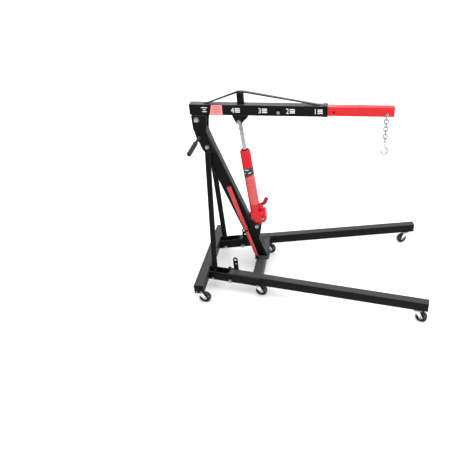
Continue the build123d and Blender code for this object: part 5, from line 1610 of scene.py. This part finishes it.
@dataclass
class Ram:
    """Hydraulic ram with its pump, lever, valve, rod and pins."""

    mast: Mast
    boom: Boom
    cylinder_radius: float = 37.0
    start: float = 120.0
    end: float = 596.0
    cap_end: float = 620.0
    cap_bore: float = 26.0
    rod_radius: float = 14.0
    rod_start: float = 330.0
    eye_radius: float = 20.0
    eye_width: float = 34.0
    pin_radius: float = 9.5
    base_half: float = 32.0
    plunger_radius: float = 8.0
    plunger_offset: float = 58.0
    lever_pivot: Point = (46.0, 168.0)
    socket_at: Point = (76.0, 176.0)
    socket_tilt: float = 28.0
    socket_bore: float = 11.0
    socket_wall: float = 4.0
    socket_length: float = 46.0

    @property
    def foot(self) -> Array:
        """Middle of the foot pin."""
        return forward(self.mast.ram_foot[0], 0, self.mast.ram_foot[1])

    @property
    def head(self) -> Array:
        """Middle of the head pin."""
        return forward(self.boom.ram_head[0], 0, self.boom.ram_head[1])

    @property
    def length(self) -> float:
        """Distance between the two pins at rest."""
        return float(np.linalg.norm(self.head - self.foot))

    def side(self, across: float = 0.0) -> Place:
        """Ram's side plane: local x forward, local y up the ram, local z to the right."""
        up = unit(self.head - self.foot)
        return Place(self.foot + (0, across, 0), np.cross(RIGHT_HAND, up) * -1.0, up, RIGHT_HAND)

    def axis(self) -> Place:
        """Ram's axis, local z from the foot pin to the head pin."""
        flat = self.side()
        return Place(flat.origin, flat.x, -flat.z, flat.y)

    def block(self) -> None:
        """Cast foot with its eye, pump barrel, plugs and the clevis of the lever."""
        outline = rounded([(-30, 22), (-38, 50), (-36, self.start), (40, self.start), (44, 128), (74, 128),
             (78, 120), (78, 44), (58, 26), (20, 14), (-14, 14)], 7.0)
        seat = self.side(self.base_half)
        parts = [plate(outline, 2 * self.base_half, 5.0).placed(seat)]
        eye = np.vstack((arc(0, 0, self.eye_radius, 180, 360, 20), [(20, 24), (-20, 24)]))
        lug = plate(eye, 2 * self.base_half - 8, 2.0, [circle(0, 0, self.pin_radius + 0.2)])
        parts.append(lug.placed(self.side(self.base_half - 4)))
        barrel = self.axis().moved(x=self.plunger_offset)
        rings = [(self.plunger_radius + 0.4, 126), (15, 126), (17, 128), (17, 134), (15.6, 136),
                 (12.5, 136.4), (12.5, 140), (self.plunger_radius + 0.4, 140)]
        parts.append(lathe(rings, 36, True).placed(barrel))
        for across in (13.0, -8.0):
            ear = np.vstack(([(39, 116), (56, 116), (54.5, 170)], arc(46.5, 168, 8, 15, 165, 10)))
            loop = [circle(*self.lever_pivot, 4.05, 20)]
            parts.append(plate(ear, 5, 0.8, loop).placed(self.side(across)))
        for x, y in ((-12, 64), (30, 96)):
            for sign in (-1, 1):
                flat = self.side()
                spot = flat.at((x, y, sign * (self.base_half - 0.4)))
                out = Place(spot, flat.x, flat.y * sign, flat.z * sign)
                parts.append(lathe([(9, 0), (9, 1.6), (7.6, 2.6), (7.2, 2.6)], 28).placed(out))
                parts.append(hex_prism(10.0, 4.6).placed(out))
        make_piece("ram_foot_block", join(parts), RED_ENAMEL, "ram_body", ["ram_base"])
        pin = lathe(pin_profile(4.0, -15, 15, 0.8), 24).placed(self.side().moved(*self.lever_pivot))
        make_piece("lever_hinge_pin", pin, ZINC, "ram_body", ["lever_pin"])

    def cylinder(self) -> None:
        """Cylinder tube with its weld at the foot, and the domed gland nut with its wiper."""
        r = self.cylinder_radius
        body = [(29, self.start), (r - 1, self.start), (r, self.start + 1), (r, self.end - 1.2),
                (r - 0.8, self.end), (29, self.end)]
        parts = [lathe(body, 96, True).placed(self.axis())]
        turn = np.linspace(0, tau, 72)
        loop = np.stack(((r - 0.5) * np.cos(turn), (r - 0.5) * np.sin(turn),
                         np.full(72, self.start + 0.5)), -1)
        parts.append(weld(self.axis().at(loop), 2.8))
        make_piece("ram_tube", join(parts), RED_ENAMEL, "ram_body", ["ram_cylinder"])
        dome = [(self.cap_bore, self.end), (r - 0.6, self.end), (r, self.end + 1.0)]
        angles = np.radians(np.linspace(0, 90, 9))
        bend = self.cap_end - self.end - 6
        dome += [(r - bend * 0.55 * (1 - cos(a)), self.cap_end - bend + bend * sin(a)) for a in angles]
        dome += [(self.cap_bore + 0.8, self.cap_end), (self.cap_bore, self.cap_end - 0.8)]
        make_piece("ram_gland_cap", lathe(dome, 96, True).placed(self.axis()),
            RED_ENAMEL, "ram_body", ["ram_cap"])

    def rod(self) -> None:
        """Chromed rod with a welded eye."""
        length = self.length
        rod = lathe(pin_profile(self.rod_radius, self.rod_start, length - self.eye_radius + 4, 1.2), 64)
        make_piece("ram_chrome_rod", rod.placed(self.axis()), CHROME, "ram_rod", ["ram_rod"])
        half = self.eye_width / 2
        eye = ring_profile(self.pin_radius + 0.2, self.eye_radius, -half, half, 1.6)
        seat = self.side().moved(y=length)
        collar = [(self.rod_radius - 0.5, length - 26), (self.rod_radius + 1.6, length - 24.5),
                  (self.rod_radius + 2.2, length - 20), (self.rod_radius, length - 14)]
        parts = [lathe(eye, 56, True).placed(seat), lathe(collar, 48).placed(self.axis())]
        make_piece("ram_rod_eye", join(parts), ZINC, "ram_rod")

    def pins(self) -> None:
        """Bolts at the ram's foot and head."""
        ends = (("ram_foot_pin", self.foot, self.mast.width / 2 + 6, "ram_foot_bolt"),
            ("ram_head_pin", self.head, self.boom.width / 2, "ram_head_bolt"))
        for name, middle, outside, node in ends:
            head = middle + RIGHT_HAND * (outside + 0.4)
            place, grip = axis_place(head, head + RIGHT_HAND), 2 * (outside + 0.4)
            screw = bolt(place, self.pin_radius, grip, 26.0, 16.1)
            make_piece(name, screw, ZINC, node, [node])

    def pump(self) -> None:
        """Plunger with its tongue, the lever with its handle socket, and the release valve."""
        barrel = self.axis().moved(x=self.plunger_offset)
        parts = [lathe(pin_profile(self.plunger_radius, 84, 154, 1.0), 32).placed(barrel)]
        tongue = loft([(145, 13, 5, 1.6), (171, 13, 5, 1.6)])
        parts.append(tongue.placed(barrel).outward())
        pin = lathe(pin_profile(3.0, -10, 10, 0.6), 20)
        parts.append(pin.placed(self.side().moved(self.plunger_offset, 166)))
        make_piece("pump_piston", join(parts), ZINC, "pump_plunger", ["pump_plunger"])
        outline = rounded([(38, 161), (38, 175), (64, 186), (78, 190), (80, 170), (64, 160)], 5.0)
        loops = [circle(*self.lever_pivot, 4.3, 20)]
        slot = np.vstack((arc(self.plunger_offset - 2.4, 166, 3.6, 90, 270, 8),
                          arc(self.plunger_offset + 2.4, 166, 3.6, -90, 90, 8)))
        loops.append(slot)
        cheeks = [plate(outline, 4, 0.8, loops).placed(self.side(y)) for y in (7.6, -3.6)]
        flat = self.side()
        tilt = radians(self.socket_tilt)
        start = flat.at((*self.socket_at, 0))
        seat = axis_place(start, start + flat.y * cos(tilt) + flat.x * sin(tilt))
        outer = self.socket_bore + self.socket_wall
        low, high = 6.0, self.socket_length
        socket = [(0.5, 0), (outer - 1.2, 0), (outer, 1.2), (outer, high - 6), (outer + 1.4, high - 5),
                  (outer + 1.4, high - 1), (outer, high), (self.socket_bore + 0.6, high),
                  (self.socket_bore, high - 0.8), (self.socket_bore, low), (0.5, low)]
        parts = cheeks + [lathe(socket, 40).placed(seat).outward()]
        make_piece("pump_rocker", join(parts), DEEP_RED, "pump_lever", ["pump_lever"])
        valve = self.side(-(self.base_half + 0.4)).moved(56, 70)
        stem = [(5, 0), (7, 0.6), (7, 6), (5.6, 7), (5.6, 9)]
        fins = []
        for turn in np.arange(4) * pi / 4:
            wing = loft(
                [(8.6, 19, 4.2, 1.6), (9.4, 19.6, 5, 2), (19.4, 19.6, 5, 2), (20.4, 18.6, 4.0, 1.6)]
            )
            x = valve.x * cos(turn) + valve.y * sin(turn)
            fins.append(wing.placed(Place(valve.origin, x, np.cross(valve.z, x), valve.z)))
        parts = [lathe(stem, 28).placed(valve), *fins]
        make_piece("valve_knob", join(parts), ZINC, "release_valve", ["release_valve"])

    def wrap(self, low: Sequence[float], high: Sequence[float], reach: Point, lift: float) -> Surface:
        """Thin film on the cylinder: at angle a from the right it runs from low(a) to high(a).

        Args:
            low: height of the lower edge at the rear and at the front.
            high: height of the upper edge at the rear and at the front.
            reach: angles in degrees of its rear and front edges, 0 towards the right.
            lift: distance from the cylinder to the film's outer face.
        """
        share = np.linspace(0, 1, 24)
        turn = np.radians(reach[0] + (reach[1] - reach[0]) * share)
        bottom = low[0] + (low[1] - low[0]) * share
        top = high[0] + (high[1] - high[0]) * share
        layers = []
        for radius in (self.cylinder_radius + lift, self.cylinder_radius - 0.3):
            rows = []
            for up in (0.0, 0.5, 1.0):
                s = bottom + (top - bottom) * up
                rows.append(np.stack((radius * np.sin(turn), -radius * np.cos(turn), s), -1))
            layers.append(np.array(rows))
        return sheet(*layers).placed(self.axis())

    def label(self) -> None:
        """Black band and pale red panel of plain bars on the cylinder, with no words."""
        around = (-82, 82)
        band = self.wrap((403, 436), (487, 487), around, 0.25)
        make_piece("ram_black_band", band, BLACK_FILM, "ram_body")
        panel = self.wrap((186, 186), (403, 436), around, 0.22)
        make_piece("ram_pale_panel", panel, PALE_RED_FILM, "ram_body")
        marks = [self.wrap((471, 472), (476, 477), (-44, 16), 0.42),
            self.wrap((442, 446), (447, 451), (-50, -26), 0.42),
            self.wrap((444, 450), (450, 456), (8, 38), 0.42)]
        make_piece("ram_band_marks", join(marks), WHITE_INK, "ram_body")
        bars = []
        for low, end in ((388, 30), (366, 52), (342, 44), (322, 24)):
            bars.append(self.wrap((low, low), (low + 3.4, low + 3.4), (-52, end), 0.4))
        make_piece("ram_panel_lines", join(bars), DULL_RED, "ram_body")

    def build(self) -> None:
        """Every piece of the ram."""
        self.block()
        self.cylinder()
        self.rod()
        self.pins()
        self.pump()
        self.label()


@dataclass
class PumpHandle:
    """Two-piece pump handle stored beside the mast, with its clip and cup."""

    mast: Mast
    low: Point = (351.0, 189.0)
    high: Point = (180.0, 814.0)
    across: float = 58.0
    upper_radius: float = 15.5
    lower_radius: float = 12.5
    tip_radius: float = 10.5
    joint: float = 0.42
    overlap: float = 60.0

    @property
    def length(self) -> float:
        """Distance from the tip to the upper end."""
        return hypot(self.high[0] - self.low[0], self.high[1] - self.low[1])

    def line(self) -> Place:
        """Handle's axis, local z from its tip in the cup to its upper end, local x to the left."""
        start = forward(self.low[0], -self.across, self.low[1])
        end = forward(self.high[0], -self.across, self.high[1])
        return axis_place(start, end, -RIGHT_HAND)

    def tubes(self) -> None:
        """Lower tube with its swaged tip and upper tube that sleeves over it."""
        length = self.length
        at = length * self.joint
        tip, low, up = self.tip_radius, self.lower_radius, self.upper_radius
        inner = tip - 2.5
        lower = [(inner, 0), (tip - 0.6, 0), (tip, 0.6), (tip, 46), (tip + 0.6, 49), (low - 0.5, 53),
                 (low, 56), (low, at + self.overlap - 8), (low - 0.4, at + self.overlap - 2),
                 (inner, at + self.overlap - 2)]
        piece = lathe(lower, 48, True).placed(self.line())
        make_piece("handle_lower_tube", piece, DULL_RED, "pump_handle", ["handle_lower"])
        upper = [(low + 0.1, at), (up - 0.9, at), (up, at + 0.9), (up, at + 8), (up - 0.7, at + 9),
                 (up - 0.7, at + 11), (up, at + 12), (up, length - 5), (up - 0.8, length - 2),
                 (up - 2.6, length - 0.3), (up - 4.5, length), (low - 4, length), (low - 4, length - 6),
                 (low + 0.1, at + self.overlap)]
        piece = lathe(upper, 56, True).placed(self.line())
        make_piece("handle_upper_tube", piece, DULL_RED, "pump_handle", ["handle_upper"])

    def holders(self) -> None:
        """Sprung clip on an arm from the mast, and the cup under the tip."""
        clip_at = self.length * self.joint - 16
        bore = self.lower_radius + 0.4
        ring = ring_profile(bore, bore + 3, clip_at, clip_at + 14, 0.9)
        parts = [lathe(ring, 48, True).placed(self.line())]
        reach = self.across - self.mast.width / 2 - bore - 1.0
        start = self.line().at((bore + 1.5, 0, clip_at + 7))
        arm = loft([(0, 10, 14, 1.5), (reach, 10, 14, 1.5)])
        place = axis_place(start, start - RIGHT_HAND, self.line().z)
        parts.append(arm.placed(place).outward())
        rim = self.tip_radius + 4
        cup = [(self.tip_radius + 0.5, -0.4), (self.tip_radius + 0.5, 23.2), (rim - 0.8, 24), (rim, 23.2),
               (rim, -5.2), (rim - 0.8, -6), (1.0, -6), (1.0, -0.4)]
        shell = lathe(cup, 44).placed(self.line()).outward()
        floor = self.mast.base.top + self.mast.foot_plate
        points = shell.points.copy()
        points[:, 2] = np.maximum(points[:, 2], floor)
        parts.append(Surface(points, shell.faces))
        make_piece("handle_clip_and_cup", join(parts), BLACK_POWDER, "frame", ["handle_holders"]
        )

    def build(self) -> None:
        """Every piece of the stored handle."""
        self.tubes()
        self.holders()


# ---------------------------------------------------------------- studio


@dataclass
class Studio:
    """Pale floor, soft light and the camera, in metres."""

    camera_at: tuple[float, float, float] = (0.1972, -3.2891, 2.6123)
    tilt: float = 31.5747
    pan: float = 2.6205
    lens: float = 41.32
    shift: Point = (-0.2084, -0.0304)
    floor_reach: float = 30.0
    film_width: float = 36.0
    aim_height: float = 0.7
    overhead: float = 1.25
    horizon: float = 0.85

    def floor(self) -> None:
        """Pale sheet floor with a very faint mottle."""
        shader = Shader("pale_floor")
        mottle = shader.noise(2.0, 3)
        shader.drive("Base Color", shader.blend(mottle, (0.97, 0.97, 0.97), (0.955, 0.955, 0.955)))
        shader.set(Roughness=0.9, Specular_IOR_Level=0.1)
        r = self.floor_reach
        mesh = bpy.data.meshes.new("studio_floor")
        mesh.from_pydata([(-r, -r, 0), (r, -r, 0), (r, r, 0), (-r, r, 0)], [], [(0, 1, 2, 3)])
        mesh.materials.append(shader.material)
        floor = bpy.data.objects.new("studio_floor", mesh)
        bpy.context.scene.collection.objects.link(floor)
        floor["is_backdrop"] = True

    def world(self) -> None:
        """White surround: bright overhead, dimmer near the horizon, white behind the object."""
        world = bpy.data.worlds.new("studio")
        bpy.context.scene.world = world
        world.use_nodes = True
        tree = world.node_tree
        background = tree.nodes["Background"]
        coordinates = tree.nodes.new("ShaderNodeTexCoord")
        split = tree.nodes.new("ShaderNodeSeparateXYZ")
        ramp = tree.nodes.new("ShaderNodeMapRange")
        rises = {"From Min": -0.05, "From Max": 0.75, "To Min": self.horizon, "To Max": self.overhead}
        for name, value in rises.items():
            ramp.inputs[name].default_value = value
        path = tree.nodes.new("ShaderNodeLightPath")
        most = tree.nodes.new("ShaderNodeMath")
        most.operation = "MAXIMUM"
        tree.links.new(coordinates.outputs["Generated"], split.inputs[0])
        tree.links.new(split.outputs["Z"], ramp.inputs["Value"])
        tree.links.new(ramp.outputs[0], most.inputs[0])
        tree.links.new(path.outputs["Is Camera Ray"], most.inputs[1])
        tree.links.new(most.outputs[0], background.inputs["Strength"])
        background.inputs["Color"].default_value = (1, 1, 1, 1)

    def light(self, name: str, at: tuple[float, float, float], size: float, power: float) -> None:
        """Square soft light that faces the object's middle."""
        data = bpy.data.lights.new(name, "AREA")
        data.size = size
        data.energy = power
        lamp = bpy.data.objects.new(name, data)
        bpy.context.scene.collection.objects.link(lamp)
        lamp.location = at
        aim = np.array((0.0, 0.0, self.aim_height)) - np.array(at)
        turn = (atan2(hypot(aim[0], aim[1]), -aim[2]), 0.0, atan2(-aim[0], aim[1]))
        lamp.rotation_euler = turn

    def camera(self) -> None:
        """Camera a little above the boom, looking down on the right side."""
        data = bpy.data.cameras.new("studio_camera")
        data.lens = self.lens
        data.sensor_width = self.film_width
        data.shift_x, data.shift_y = self.shift
        camera = bpy.data.objects.new("studio_camera", data)
        bpy.context.scene.collection.objects.link(camera)
        camera.location = self.camera_at
        camera.rotation_euler = (radians(90 - self.tilt), 0, radians(self.pan))
        bpy.context.scene.camera = camera

    def build(self) -> None:
        """Floor, light and camera."""
        self.floor()
        self.world()
        self.light("key_light", (0.8, -1.2, 4.2), 3.2, 95)
        self.light("back_light", (-1.2, 3.6, 3.4), 3.0, 70)
        self.camera()
        bpy.context.scene.view_settings.view_transform = "Standard"


def casters(legs: Legs) -> list[Caster]:
    """Six casters: four under the base and one under each leg's tip."""
    splay = legs.base.splay
    lift = legs.bottom - legs.base.bottom
    return [Caster("right_rear", 0, 0, "frame", "base_caster_plates"),
        Caster("left_rear", 0, 0, "frame", ""), Caster("right_mid", -4, -splay, "frame", ""),
        Caster("left_mid", 3, splay, "frame", ""),
        Caster("right_front", -22, -splay, "right_leg", "right_front_caster_plate", lift),
        Caster("left_front", 205, splay, "left_leg", "left_front_caster_plate", lift)]


def corners() -> list[list[float]]:
    """Shown object's lowest and highest corners as plain numbers."""
    return [list(map(float, corner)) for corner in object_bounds()]


def main() -> None:
    """Build every sub-assembly in order, then the studio."""
    logging.basicConfig(level=logging.INFO, format="%(name)s: %(message)s")
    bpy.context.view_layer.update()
    base = Base()
    legs = Legs(base)
    mast = Mast(base)
    boom = Boom(mast)
    assemblies = [base, legs, *casters(legs), mast, boom, Extension(boom), Ram(mast, boom),
        PumpHandle(mast), Studio()]
    for assembly in assemblies:
        assembly.build()


if __name__ == "__main__":
    main()
